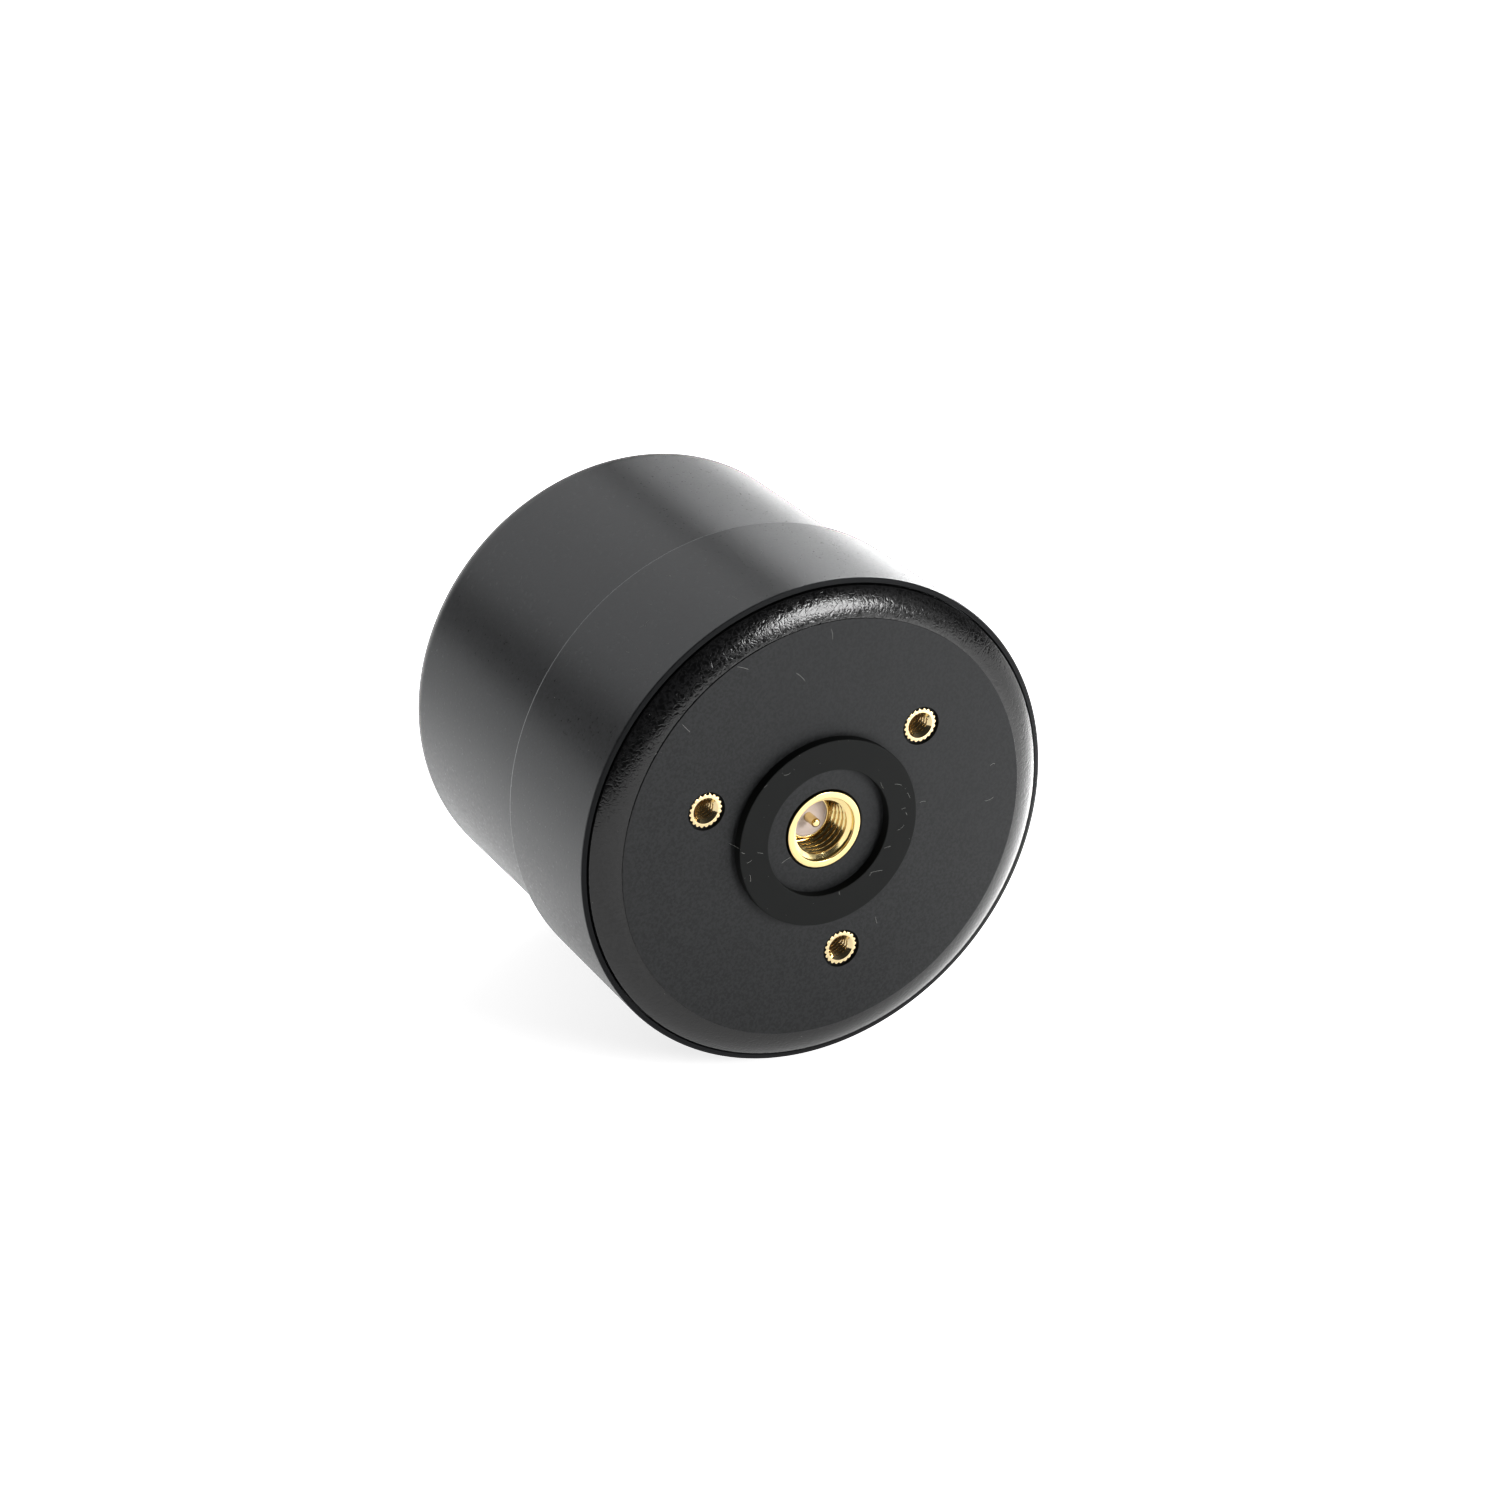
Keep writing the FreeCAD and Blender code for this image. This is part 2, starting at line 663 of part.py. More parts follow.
def make_pieces():
    """Every piece of the antenna, from the outside in."""
    pieces = [make_radome(), make_base_cover(), make_gasket(), make_seal_ring()]
    pieces += [make_insert(index) for index in range(int(number("insert_count")))]
    pieces += [make_connector_body(), make_insulator(), make_pin(), make_board()]
    pieces += [make_screw(index) for index in range(int(number("screw_count")))]
    pieces += [make_shield_can(), *make_chips(), make_former(), make_film()]
    pieces += [make_arm(index) for index in range(int(number("arm_count")))]
    pieces.append(cylinder("crown_board", FORMER_RADIUS, "crown_board_thickness", CROWN))
    foam_foot = f"{CROWN} + crown_board_thickness"
    pieces.append(cylinder("foam_pad", f"{FORMER_RADIUS} - foam_inset", "foam_thickness", foam_foot))
    return pieces


def check(pieces):
    """Stops with a plain message where a feature failed or a piece has no sound shape."""
    failed = [item.Name for item in doc.Objects if {"Invalid", "Error"} & set(item.State)]
    if failed:
        raise RuntimeError(f"failed features: {failed}")
    for piece in pieces:
        if piece.Shape.isNull() or not piece.Shape.isValid() or len(piece.Shape.Solids) != 1:
            raise RuntimeError(f"{piece.Label} has no single sound solid")


def write(pieces):
    """Writes one file for each piece, named after its node."""
    os.makedirs("parts", exist_ok=True)
    for piece in pieces:
        piece.Shape.exportStep(os.path.join("parts", f"{piece.Label}.step"))
        print(f"{piece.Label}: {piece.Shape.Volume:.2f} mm3")


fill_sheet()
antenna = make_pieces()
doc.recompute()
check(antenna)
write(antenna)
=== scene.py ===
"""Looks and studio of a quadrifilar helix antenna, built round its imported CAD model.

The antenna stands dome up, its axis on Z. The camera looks up at its base, which carries the
socket, the gasket and the three brass inserts, while the studio's floor stands behind its side.
"""

from math import asin, atan2, ceil, cos, hypot, pi, radians, sin, sqrt, tau

import bmesh
import bpy
from mathutils import Euler, Matrix, Vector


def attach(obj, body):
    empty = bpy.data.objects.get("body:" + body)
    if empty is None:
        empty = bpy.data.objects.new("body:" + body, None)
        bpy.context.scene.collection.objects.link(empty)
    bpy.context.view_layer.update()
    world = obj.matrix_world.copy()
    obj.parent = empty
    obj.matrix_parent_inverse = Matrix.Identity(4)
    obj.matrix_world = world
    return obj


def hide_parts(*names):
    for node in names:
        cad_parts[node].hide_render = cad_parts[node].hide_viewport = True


bl_info = {
    "name": "Helix Antenna Studio",
    "version": (1, 0, 0),
    "blender": (4, 5, 0),
    "location": "3D View > Sidebar > Antenna",
    "description": "Builds the visible pieces, finishes and studio of a quadrifilar helix antenna",
    "category": "Object",
}

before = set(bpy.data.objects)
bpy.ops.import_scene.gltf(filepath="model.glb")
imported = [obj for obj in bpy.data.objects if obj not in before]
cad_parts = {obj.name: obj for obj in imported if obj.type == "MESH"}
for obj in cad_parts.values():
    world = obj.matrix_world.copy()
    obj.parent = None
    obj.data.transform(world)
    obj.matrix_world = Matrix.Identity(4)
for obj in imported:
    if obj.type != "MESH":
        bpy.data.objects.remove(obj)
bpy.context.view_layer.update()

MM = 0.001
BODY = "root"

# Mesh quality. Points closer than WELD, in metres, are merged, and a corner gets its support points
# SUPPORT millimetres away.
ROUND_STEPS = 240
SMALL_STEPS = 160
SHARP_ANGLE = radians(32)
WELD = 2e-7
SUPPORT = 0.12

# Places that several pieces share, in millimetres: levels above the gasket's face, and circles.
PAD_BACK = 3.4
SEAT_LEVEL = 4.2
SNAP_LEVEL = 8.1
BOARD_LEVEL = 9.0
INSERT_FOOT = 1.15
SCREW_CIRCLE = 17.4

# Threads: steepness of the flanks, the share cut off the crests, the share of the depth where the
# roots begin, and how close in millimetres a point of a wall lies to it.
FLANK_GAIN = 1.25
CREST_CUT = 0.1
ROOT_SHARE = 0.4
WALL_REACH = 1e-3


# Properties

def length(label, millimetres, note):
    """A size that the sidebar shows as a length."""
    return bpy.props.FloatProperty(name=label, description=note, default=millimetres * MM,
                                   min=0.0, precision=5, subtype="DISTANCE", unit="LENGTH")


def factor(label, value, note):
    """A number between nothing and one."""
    return bpy.props.FloatProperty(name=label, description=note, default=value,
                                   min=0.0, max=1.0, subtype="FACTOR")


def amount(label, value, note):
    """A plain number."""
    return bpy.props.FloatProperty(name=label, description=note, default=value, min=0.0)


def colour(label, value, note):
    """A linear colour."""
    return bpy.props.FloatVectorProperty(name=label, description=note, default=value, size=3,
                                         min=0.0, max=1.0, subtype="COLOR")


class RadomeSettings(bpy.types.PropertyGroup):
    """Sizes and colour of the stepped outer shell."""
    rim_radius: length("Rim radius", 25.0, "Outer radius of the rim")
    ledge_radius: length("Ledge radius", 24.6, "Outer radius of the skirt at the ledge")
    foot_radius: length("Dome foot radius", 23.6, "Outer radius of the upper part at the ledge")
    head_radius: length("Dome head radius", 23.25, "Outer radius of the upper part at its end")
    rim_level: length("Rim level", 2.6, "Height of the rim's face above the gasket's face")
    ledge_level: length("Ledge level", 18.8, "Height of the ledge")
    top_level: length("Top level", 43.75, "Height of the dome's flat end")
    dome_round: length("Dome rounding", 2.5, "Radius of the dome's outer edge")
    colour: colour("Colour", (0.0098, 0.0102, 0.0112), "Charcoal of the satin plastic")
    roughness: factor("Roughness", 0.33, "Roughness of the satin plastic")


class CoverSettings(bpy.types.PropertyGroup):
    """Sizes and colours of the base cover."""
    pad_radius: length("Pad radius", 21.55, "Radius of the flat pad")
    pad_level: length("Pad level", 1.0, "Height of the pad above the gasket's face")
    pad_step: length("Pad step", 0.12, "Height of the step from the bevel to the pad")
    bevel_drop: length("Bevel drop", 1.317, "Height that the bevel falls back by")
    bevel_start: bpy.props.FloatProperty(
        name="Bevel start", description="Slope of the bevel beside the pad", default=radians(9.0),
        subtype="ANGLE", unit="ROTATION")
    cover_radius: length("Cover radius", 24.33, "Outer radius of the cover, a gap inside the rim's lip")
    pad_colour: colour("Pad colour", (0.0085, 0.0088, 0.0092), "Grey of the pad")
    bevel_colour: colour("Bevel colour", (0.003, 0.003, 0.0032), "Black of the bevel")
    pad_roughness: factor("Pad roughness", 0.5, "Roughness of the pad")
    bevel_roughness: factor("Bevel roughness", 0.14, "Roughness of the bevel")


class GasketSettings(bpy.types.PropertyGroup):
    """Sizes and colour of the rubber gasket."""
    outer_radius: length("Outer radius", 9.65, "Outer radius of the ring")
    inner_radius: length("Inner radius", 6.55, "Inner radius of the ring")
    face_level: length("Face level", 0.014, "Height of the face, which leaves room for the dust under it")
    edge_round: length("Edge rounding", 0.08, "Rounding of the cut edges")
    colour: colour("Colour", (0.0045, 0.0048, 0.0047), "Black of the rubber")


class SocketSettings(bpy.types.PropertyGroup):
    """Sizes and colour of the coaxial socket."""
    sleeve_radius: length("Sleeve radius", 3.94, "Outer radius of the sleeve")
    mouth_radius: length("Mouth radius", 3.27, "Radius of the smooth lead-in")
    crest_radius: length("Crest radius", 2.8, "Radius over the thread's crests")
    root_radius: length("Root radius", 3.17, "Radius at the thread's roots")
    pitch: length("Thread pitch", 0.7056, "Advance of the thread in one turn")
    gold: colour("Gold", (0.95, 0.76, 0.36), "Colour of the plating")
    # Painted shade: the thread's roots get this darker gold.
    root_shade_tone: colour("Root tone", (0.6, 0.36, 0.1), "Darker gold in the thread's roots")
    pale: colour("Insulator colour", (0.78, 0.66, 0.6), "Colour of the insulator")


class InsertSettings(bpy.types.PropertyGroup):
    """Sizes and colour of the three knurled inserts."""
    circle_radius: length("Circle radius", 13.55, "Radius of the circle that the inserts stand on")
    radius: length("Insert radius", 1.76, "Radius over the knurl")
    knurl_depth: length("Knurl depth", 0.17, "Depth of the knurl's grooves")
    teeth: bpy.props.IntProperty(name="Teeth", description="Number of knurl teeth", default=20, min=3)
    mouth_radius: length("Mouth radius", 1.32, "Radius of the chamfered mouth")
    crest_radius: length("Crest radius", 1.03, "Radius over the thread's crests")
    root_radius: length("Root radius", 1.25, "Radius at the thread's roots")
    pitch: length("Thread pitch", 0.45, "Advance of the thread in one turn")
    brass: colour("Brass", (0.92, 0.74, 0.42), "Colour of the brass")
    # Painted shade: the thread's roots get this darker brass.
    root_shade_tone: colour("Root tone", (0.34, 0.2, 0.07), "Darker brass in the thread's roots")


class LintSettings(bpy.types.PropertyGroup):
    """Sizes and colour of the dust on the antenna."""
    strand_radius: length("Strand radius", 0.012, "Radius of a lint fibre")
    speck_radius: length("Speck radius", 0.032, "Radius of a grain of dust")
    colour: colour("Lint colour", (0.36, 0.36, 0.34), "Pale grey of the fibres")


class StageSettings(bpy.types.PropertyGroup):
    """Camera, floor and light."""
    lens: bpy.props.FloatProperty(name="Focal length", description="Focal length on a 36 mm wide frame",
                                  default=120.0, min=1.0, unit="CAMERA")
    camera_place: bpy.props.FloatVectorProperty(
        name="Camera place", description="Where the camera stands", size=3,
        default=(-0.02883278, -0.29931007, -0.36784779), subtype="TRANSLATION", unit="LENGTH")
    camera_turn: bpy.props.FloatVectorProperty(
        name="Camera rotation", description="Camera rotation as XYZ angles", size=3,
        default=tuple(radians(a) for a in (153.95800623, 28.65366636, 38.67627122)), subtype="EULER")
    floor_side: bpy.props.FloatProperty(
        name="Floor side", description="Direction that the floor faces, about Z", default=radians(-51.324),
        subtype="ANGLE", unit="ROTATION")
    backdrop: amount("Backdrop", 1.4, "Brightness of the backdrop as the camera sees it")
    fill: amount("Fill", 0.14, "Brightness of the surround on its bright side")
    dark: amount("Dark side", 0.03, "Brightness of the surround on the camera's side")
    # The floor's glow is painted light, given off by the floor itself.
    floor_glow: amount("Floor glow", 0.64, "Brightness of the lit floor away from its bright patches")
    bright_side: bpy.props.FloatVectorProperty(
        name="Bright side", description="Direction of the bright side of the surround", size=3,
        default=(0.25, 0.2, 0.95), subtype="DIRECTION")


# Shader helpers

class Wire:
    """A shader socket that takes part in Python sums."""

    def __init__(self, finish, socket):
        self.finish = finish
        self.socket = socket

    def maths(self, operation, *others):
        """A Math node on this socket and others."""
        return self.finish.node("ShaderNodeMath", {"operation": operation}, [self, *others])

    def __add__(self, other):
        return self.maths("ADD", other)

    def __sub__(self, other):
        return self.maths("SUBTRACT", other)

    def __mul__(self, other):
        return self.maths("MULTIPLY", other)

    def __truediv__(self, other):
        return self.maths("DIVIDE", other)

    def __abs__(self):
        return self.maths("ABSOLUTE")

    def __rsub__(self, other):
        return self.finish.node("ShaderNodeMath", {"operation": "SUBTRACT"}, [other, self])

    __radd__ = __add__

    def above(self, edge, softness):
        """Nothing under the edge, one over it, with a smooth change of the given width."""
        settings = {"interpolation_type": "SMOOTHSTEP"}
        values = {"Value": self, "From Min": edge - softness, "From Max": edge + softness}
        return self.finish.node("ShaderNodeMapRange", settings, values)


class Finish:
    """A material under construction round one Principled shader."""

    def __init__(self, name, **values):
        self.material = bpy.data.materials.new(name)
        self.material.use_nodes = True
        self.tree = self.material.node_tree
        self.shader = self.tree.nodes["Principled BSDF"]
        self.place = self.node("ShaderNodeTexCoord", output="Object")
        self.set(**values)

    def shine(self, level, tint=(1.0, 1.0, 1.0)):
        """Sets the strength and tint of the shader's mirror-like part."""
        self.shader.inputs["Specular IOR Level"].default_value = level
        self.shader.inputs["Specular Tint"].default_value = (*tint, 1.0)

    def set(self, **values):
        """Sets or links sockets of the shader, named in lower case with underscores."""
        for name, value in values.items():
            self.feed(self.shader.inputs[name.replace("_", " ").title()], value)

    def clear_behind(self):
        """Lets the back of the surface through, so that only its front is seen."""
        behind = self.node("ShaderNodeNewGeometry", output="Backfacing")
        clear = self.node("ShaderNodeBsdfTransparent")
        front = Wire(self, self.shader.outputs["BSDF"])
        mixed = self.node("ShaderNodeMixShader", values=[behind, front, clear])
        self.feed(self.tree.nodes["Material Output"].inputs["Surface"], mixed)

    def feed(self, socket, value):
        """Links a wire to a socket, or sets the socket to a number or colour."""
        if isinstance(value, Wire):
            self.tree.links.new(value.socket, socket)
        elif socket.type == "RGBA":
            socket.default_value = (*value[:3], 1.0)
        else:
            socket.default_value = value

    def node(self, kind, settings=None, values=(), output=0):
        """A node of any type: its settings first, then its sockets, and one output as a wire."""
        made = self.tree.nodes.new(kind)
        for name, value in (settings or {}).items():
            setattr(made, name, value)
        pairs = values.items() if isinstance(values, dict) else enumerate(values)
        for name, value in pairs:
            self.feed(made.inputs[name], value)
        return Wire(self, made.outputs[output])

    def blend(self, share, first, second):
        """A mix of two colours."""
        made = self.tree.nodes.new("ShaderNodeMix")
        made.data_type = "RGBA"
        sockets = [socket for socket in made.inputs if socket.enabled]
        for socket, value in zip(sockets, (share, first, second)):
            self.feed(socket, value)
        return Wire(self, next(socket for socket in made.outputs if socket.enabled))

    def noise(self, scale, detail=2.0, roughness=0.5, distortion=0.0, place=None):
        """Noise between nothing and one, its scale in waves per metre."""
        values = {"Vector": place or self.place, "Scale": scale, "Detail": detail,
                  "Roughness": roughness, "Distortion": distortion}
        return self.node("ShaderNodeTexNoise", values=values)

    def specks(self, scale, size, share):
        """Small round specks in some of the cells of a grid with this many cells per metre."""
        values = {"Vector": self.place, "Scale": scale}
        distance = self.node("ShaderNodeTexVoronoi", values=values, output="Distance")
        cell = self.node("ShaderNodeTexVoronoi", values=values, output="Color")
        parts = self.node("ShaderNodeSeparateColor", values=[cell])
        return (1.0 - distance.above(size, size * 0.4)) * (1.0 - parts.above(share, 0.001))

    def axis_distance(self):
        """Distance from the antenna's axis."""
        values = [self.place, (1.0, 1.0, 0.0)]
        flat = self.node("ShaderNodeVectorMath", {"operation": "MULTIPLY"}, values)
        return self.node("ShaderNodeVectorMath", {"operation": "LENGTH"}, [flat], "Value")

    def patch(self, centre, reach, strength):
        """A round patch of light that fades out smoothly at its reach."""
        values = [self.place, centre]
        span = self.node("ShaderNodeVectorMath", {"operation": "DISTANCE"}, values, "Value")
        return (1.0 - span.above(reach / 2, reach / 2)) * strength

    def bump(self, height, depth):
        """A bump whose height is in shares of a depth in metres."""
        return self.node("ShaderNodeBump", values={"Distance": depth, "Height": height})


# Finishes

def shade(tone, share):
    """A colour made darker or lighter, at most white."""
    return tuple(min(1.0, value * share) for value in tone)


def satin_plastic(settings):
    """Charcoal moulded plastic with a fine spark-eroded grain, a little dust and a painted highlight along
    the ledge's edge.
    """
    finish = Finish("radome_satin")
    mottle = finish.noise(420.0, detail=3.0)
    grain = finish.noise(2900.0, roughness=0.7)
    dark = shade(settings.colour, 0.3)
    light = shade(settings.colour, 2.0)
    charcoal = finish.blend(mottle * 0.3 + grain.above(0.52, 0.15) * 0.7, dark, light)
    dust = finish.specks(420.0, size=0.014, share=0.02)
    speckled = finish.blend(dust * 0.12, charcoal, (0.3, 0.3, 0.29))
    # A thin light line along the ledge's rounded edge, a painted highlight.
    highlight_drop, highlight_reach = 0.19 * MM, 0.07 * MM
    height = finish.node("ShaderNodeSeparateXYZ", values=[finish.place], output="Z")
    reach = abs(height - (settings.ledge_level - highlight_drop)) / highlight_reach
    outside = finish.axis_distance().above(settings.ledge_radius - 0.14 * MM, 0.01 * MM)
    edge = (1.0 - reach.above(1.0, 0.3)) * outside * (0.5 + mottle * 0.9)
    finish.set(
        base_color=finish.blend(edge, speckled, (0.3, 0.31, 0.32)),
        roughness=settings.roughness + (grain - 0.5) * 0.3,
        normal=finish.bump(grain, 0.006 * MM),
    )
    finish.shine(0.5, tint=(0.93, 0.96, 1.0))
    return finish.material


def rim_plastic(settings):
    """The radome's plastic on its cut rim, duller than its side, its darker colour a painted shade."""
    finish = Finish("radome_rim_painted_shade")
    grain = finish.noise(2600.0, detail=3.0, roughness=0.6)
    # The rim's darker colour paints the shade that falls on it.
    dark = shade(settings.colour, 0.4)
    finish.set(
        base_color=finish.blend(grain, dark, settings.colour),
        roughness=0.55 + (grain - 0.5) * 0.2,
        normal=finish.bump(grain, 0.008 * MM),
    )
    finish.shine(0.12, tint=(0.96, 0.98, 1.0))
    return finish.material


def pad_plastic(settings):
    """Dull charcoal plastic of the flat pad, with a very fine grain."""
    finish = Finish("cover_pad")
    mottle = finish.noise(300.0, detail=4.0)
    grain = finish.noise(3300.0, roughness=0.7)
    dark = shade(settings.pad_colour, 0.25)
    light = shade(settings.pad_colour, 2.0)
    grey = finish.blend(mottle * 0.3 + grain.above(0.5, 0.15) * 0.7, dark, light)
    dust = finish.specks(700.0, size=0.022, share=0.03)
    finish.set(
        base_color=finish.blend(dust * 0.2, grey, (0.25, 0.25, 0.24)),
        roughness=settings.pad_roughness + (grain - 0.5) * 0.4,
        normal=finish.bump(grain, 0.012 * MM),
    )
    finish.shine(0.3, tint=(0.96, 0.98, 1.0))
    return finish.material


def bevel_plastic(settings):
    """Black glossy plastic of the bevel, with a crinkled leather-like grain."""
    finish = Finish("cover_bevel")
    folds = finish.noise(2300.0, detail=1.0, distortion=0.5)
    crinkle = 1.0 - abs(folds - 0.5) * 4.0
    crest = crinkle.above(0.72, 0.2)
    dust = finish.specks(500.0, size=0.02, share=0.04)
    dark = settings.bevel_colour
    light = shade(dark, 3.0)
    finish.set(
        base_color=finish.blend(dust * 0.25, finish.blend(crest, dark, light), (0.4, 0.4, 0.38)),
        roughness=settings.bevel_roughness + crest * 0.09,
        normal=finish.bump(crinkle, 0.012 * MM),
    )
    return finish.material


def rubber(name, tone):
    """Matt black rubber with a fine tooth and pale dust."""
    finish = Finish(name)
    tooth = finish.noise(5200.0, detail=4.0, roughness=0.7)
    cloud = finish.noise(260.0, detail=3.0)
    dust = finish.specks(900.0, size=0.03, share=0.06)
    dark = shade(tone, 0.85)
    light = shade(tone, 1.25)
    finish.set(
        base_color=finish.blend(dust * 0.3, finish.blend(cloud, dark, light), (0.22, 0.22, 0.21)),
        roughness=0.7 + (tooth - 0.5) * 0.2,
        normal=finish.bump(tooth, 0.008 * MM),
    )
    finish.shine(0.2, tint=(0.97, 1.0, 0.99))
    return finish.material


def plated(name, tone, roughness):
    """Bright metal with faint turning marks round the axis and a slight change of tone."""
    finish = Finish(name, metallic=1.0)
    cloud = finish.noise(900.0, detail=3.0)
    squeeze = {"Vector": finish.place, "Scale": (1.0, 1.0, 14.0)}
    squeezed = finish.node("ShaderNodeMapping", values=squeeze)
    marks = finish.noise(3000.0, detail=3.0, roughness=0.6, place=squeezed)
    dark = shade(tone, 0.86)
    finish.set(
        base_color=finish.blend(cloud, dark, tone),
        roughness=roughness + (marks - 0.5) * 0.08,
        normal=finish.bump(marks, 0.001 * MM),
    )
    return finish.material


def moulded(name, tone, roughness, scale=3000.0, depth=0.01, spread=0.12):
    """A plain moulded or cast surface with a soft grain, its depth in millimetres."""
    finish = Finish(name)
    grain = finish.noise(scale, detail=3.0, roughness=0.6)
    cloud = finish.noise(scale * 0.08)
    dark = shade(tone, 1.0 - spread)
    light = shade(tone, 1.0 + spread)
    finish.set(
        base_color=finish.blend(cloud, dark, light),
        roughness=roughness + (grain - 0.5) * 0.15,
        normal=finish.bump(grain, depth * MM),
    )
    return finish.material


def laminate(name, tone):
    """Circuit board: coloured mask over copper tracks, with the weave just showing."""
    finish = Finish(name)
    across = finish.node("ShaderNodeSeparateXYZ", values=[finish.place], output="X")
    weave = (across * 9000.0).maths("SINE") * 0.5 + 0.5
    tracks = abs(finish.noise(170.0, detail=1.0) - 0.5).above(0.06, 0.01)
    copper = tuple(min(1.0, value * 1.7 + 0.02) for value in tone)
    finish.set(
        base_color=finish.blend(tracks, copper, tone),
        roughness=0.3 + weave * 0.12,
        normal=finish.bump(tracks * -1.0 + weave * 0.1, 0.02 * MM),
    )
    return finish.material


# Mesh helpers

def half_section(points, rounds, closed):
    """An outline in the XZ plane, in millimetres, with rounded corners and support points by them.

    rounds holds one (reach, segments, corner numbers) for each size of rounding.
    """
    bm = bmesh.new()
    corners = [bm.verts.new((radius, 0.0, level)) for radius, level in points]
    ends = corners[1:] + corners[:1] if closed else corners[1:]
    for start, end in zip(corners, ends):
        bm.edges.new((start, end))
    for reach, segments, numbers in rounds:
        bmesh.ops.bevel(bm, geom=[corners[number] for number in numbers], offset=reach,
                        offset_type="OFFSET", affect="VERTICES", segments=segments, profile=0.5,
                        clamp_overlap=False, material=-1)
    for edge in [item for item in bm.edges if item.calc_length() > 4 * SUPPORT]:
        start, end = edge.verts
        _, near = bmesh.utils.edge_split(edge, start, SUPPORT / edge.calc_length())
        rest = next(item for item in near.link_edges if item.other_vert(near) is end)
        bmesh.utils.edge_split(rest, end, SUPPORT / rest.calc_length())
    return bm


def spun(points, rounds=(), closed=True, steps=ROUND_STEPS):
    """A closed solid turned about Z from a half section, in millimetres."""
    bm = half_section(points, rounds, closed)
    bmesh.ops.spin(bm, geom=bm.verts[:] + bm.edges[:], cent=(0, 0, 0), axis=(0, 0, 1),
                   dvec=(0, 0, 0), angle=tau, steps=steps, use_merge=True)
    bmesh.ops.remove_doubles(bm, verts=bm.verts, dist=WELD / MM)
    bmesh.ops.recalc_face_normals(bm, faces=bm.faces)
    return bm


def column(radius, low, high, step):
    """Evenly spaced points up a straight wall, in millimetres, without its two ends."""
    count = ceil((high - low) / step)
    return [(radius, low + (high - low) * index / count) for index in range(1, count)]


def cut_thread(bm, low, high, crest, root, pitch, fade):
    """Moves the points of an inner wall outwards to a right-hand thread that fades in and out."""
    for vert in bm.verts:
        across = hypot(vert.co.x, vert.co.y)
        if not low < vert.co.z < high or abs(across - crest) > WALL_REACH:
            continue
        phase = (vert.co.z / pitch - atan2(vert.co.y, vert.co.x) / tau) % 1.0
        zigzag = 1.0 - abs(phase * 2.0 - 1.0)
        wave = min(1.0, max(0.0, zigzag * FLANK_GAIN - CREST_CUT))
        rise = min(1.0, (vert.co.z - low) / fade, (high - vert.co.z) / fade)
        scale = 1.0 + (root - crest) * wave * max(0.0, rise) / across
        vert.co.x *= scale
        vert.co.y *= scale


def mark(bm, chosen):
    """Gives the second finish to faces chosen by distance from the axis and by level."""
    for face in bm.faces:
        middle = face.calc_center_median()
        if chosen(hypot(middle.x, middle.y), middle.z):
            face.material_index = 1


def mark_thread(bm, low, high, crest, root):
    """Gives the faces along the roots of a thread the second finish, a darker tone that paints the shade
    in the roots.
    """
    start, end = (1.0 - ROOT_SHARE) * crest + ROOT_SHARE * root, root + WALL_REACH
    mark(bm, lambda across, level: low < level < high and start < across < end)


def finished(name, bm, materials, stands_for=()):
    """A piece from a mesh in millimetres: scaled, shaded, dressed and tied to the antenna."""
    bmesh.ops.scale(bm, vec=(MM, MM, MM), verts=bm.verts)
    mesh = bpy.data.meshes.new(name)
    bm.to_mesh(mesh)
    bm.free()
    for material in materials:
        mesh.materials.append(material)
    mesh.shade_smooth()
    mesh.set_sharp_from_angle(angle=SHARP_ANGLE)
    piece = bpy.data.objects.new(name, mesh)
    bpy.context.scene.collection.objects.link(piece)
    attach(piece, BODY)
    if stands_for:
        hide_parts(*stands_for)
    return piece


def joined(base, tool, operation):
    """The mesh of base after one boolean with tool, both in millimetres."""
    objects = []
    for bm in (base, tool):
        mesh = bpy.data.meshes.new("blank")
        bm.to_mesh(mesh)
        bm.free()
        item = bpy.data.objects.new("blank", mesh)
        bpy.context.scene.collection.objects.link(item)
        objects.append(item)
    step = objects[0].modifiers.new("join", "BOOLEAN")
    step.operation = operation
    step.object = objects[1]
    step.solver = "EXACT"
    step.use_self = True
    graph = bpy.context.evaluated_depsgraph_get()
    result = bmesh.new()
    result.from_mesh(objects[0].evaluated_get(graph).data)
    for item in objects:
        mesh = item.data
        bpy.data.objects.remove(item)
        bpy.data.meshes.remove(mesh)
    bmesh.ops.remove_doubles(result, verts=result.verts, dist=WELD / MM)
    return result


def post(bm, radius, low, high, place=(0.0, 0.0), segments=64):
    """Adds a closed round post to a mesh, in millimetres."""
    centre = Matrix.Translation((*place, (low + high) / 2))
    bmesh.ops.create_cone(bm, cap_ends=True, segments=segments, radius1=radius, radius2=radius,
                          depth=high - low, matrix=centre)


def block(bm, size, centre, turn=0.0):
    """Adds a closed block to a mesh, in millimetres."""
    place = Matrix.Rotation(turn, 4, "Z") @ Matrix.Translation(centre) @ Matrix.Diagonal((*size, 1.0))
    bmesh.ops.create_cube(bm, size=1.0, matrix=place)


def on_circle(radius, count, first=0.0):
    """Places spaced evenly on a circle about the axis."""
    turns = [first + tau * index / count for index in range(count)]
    return [(radius * cos(turn), radius * sin(turn)) for turn in turns]


def bevel_arc(cover):
    """The bevel's bend in millimetres, its slope beside the pad and the angle it turns through."""
    width = (cover.cover_radius - cover.pad_radius) / MM
    drop = cover.bevel_drop / MM
    sweep = 2.0 * (atan2(drop, width) - cover.bevel_start)
    return hypot(width, drop) / (2.0 * sin(sweep / 2.0)), cover.bevel_start, sweep


# Operators

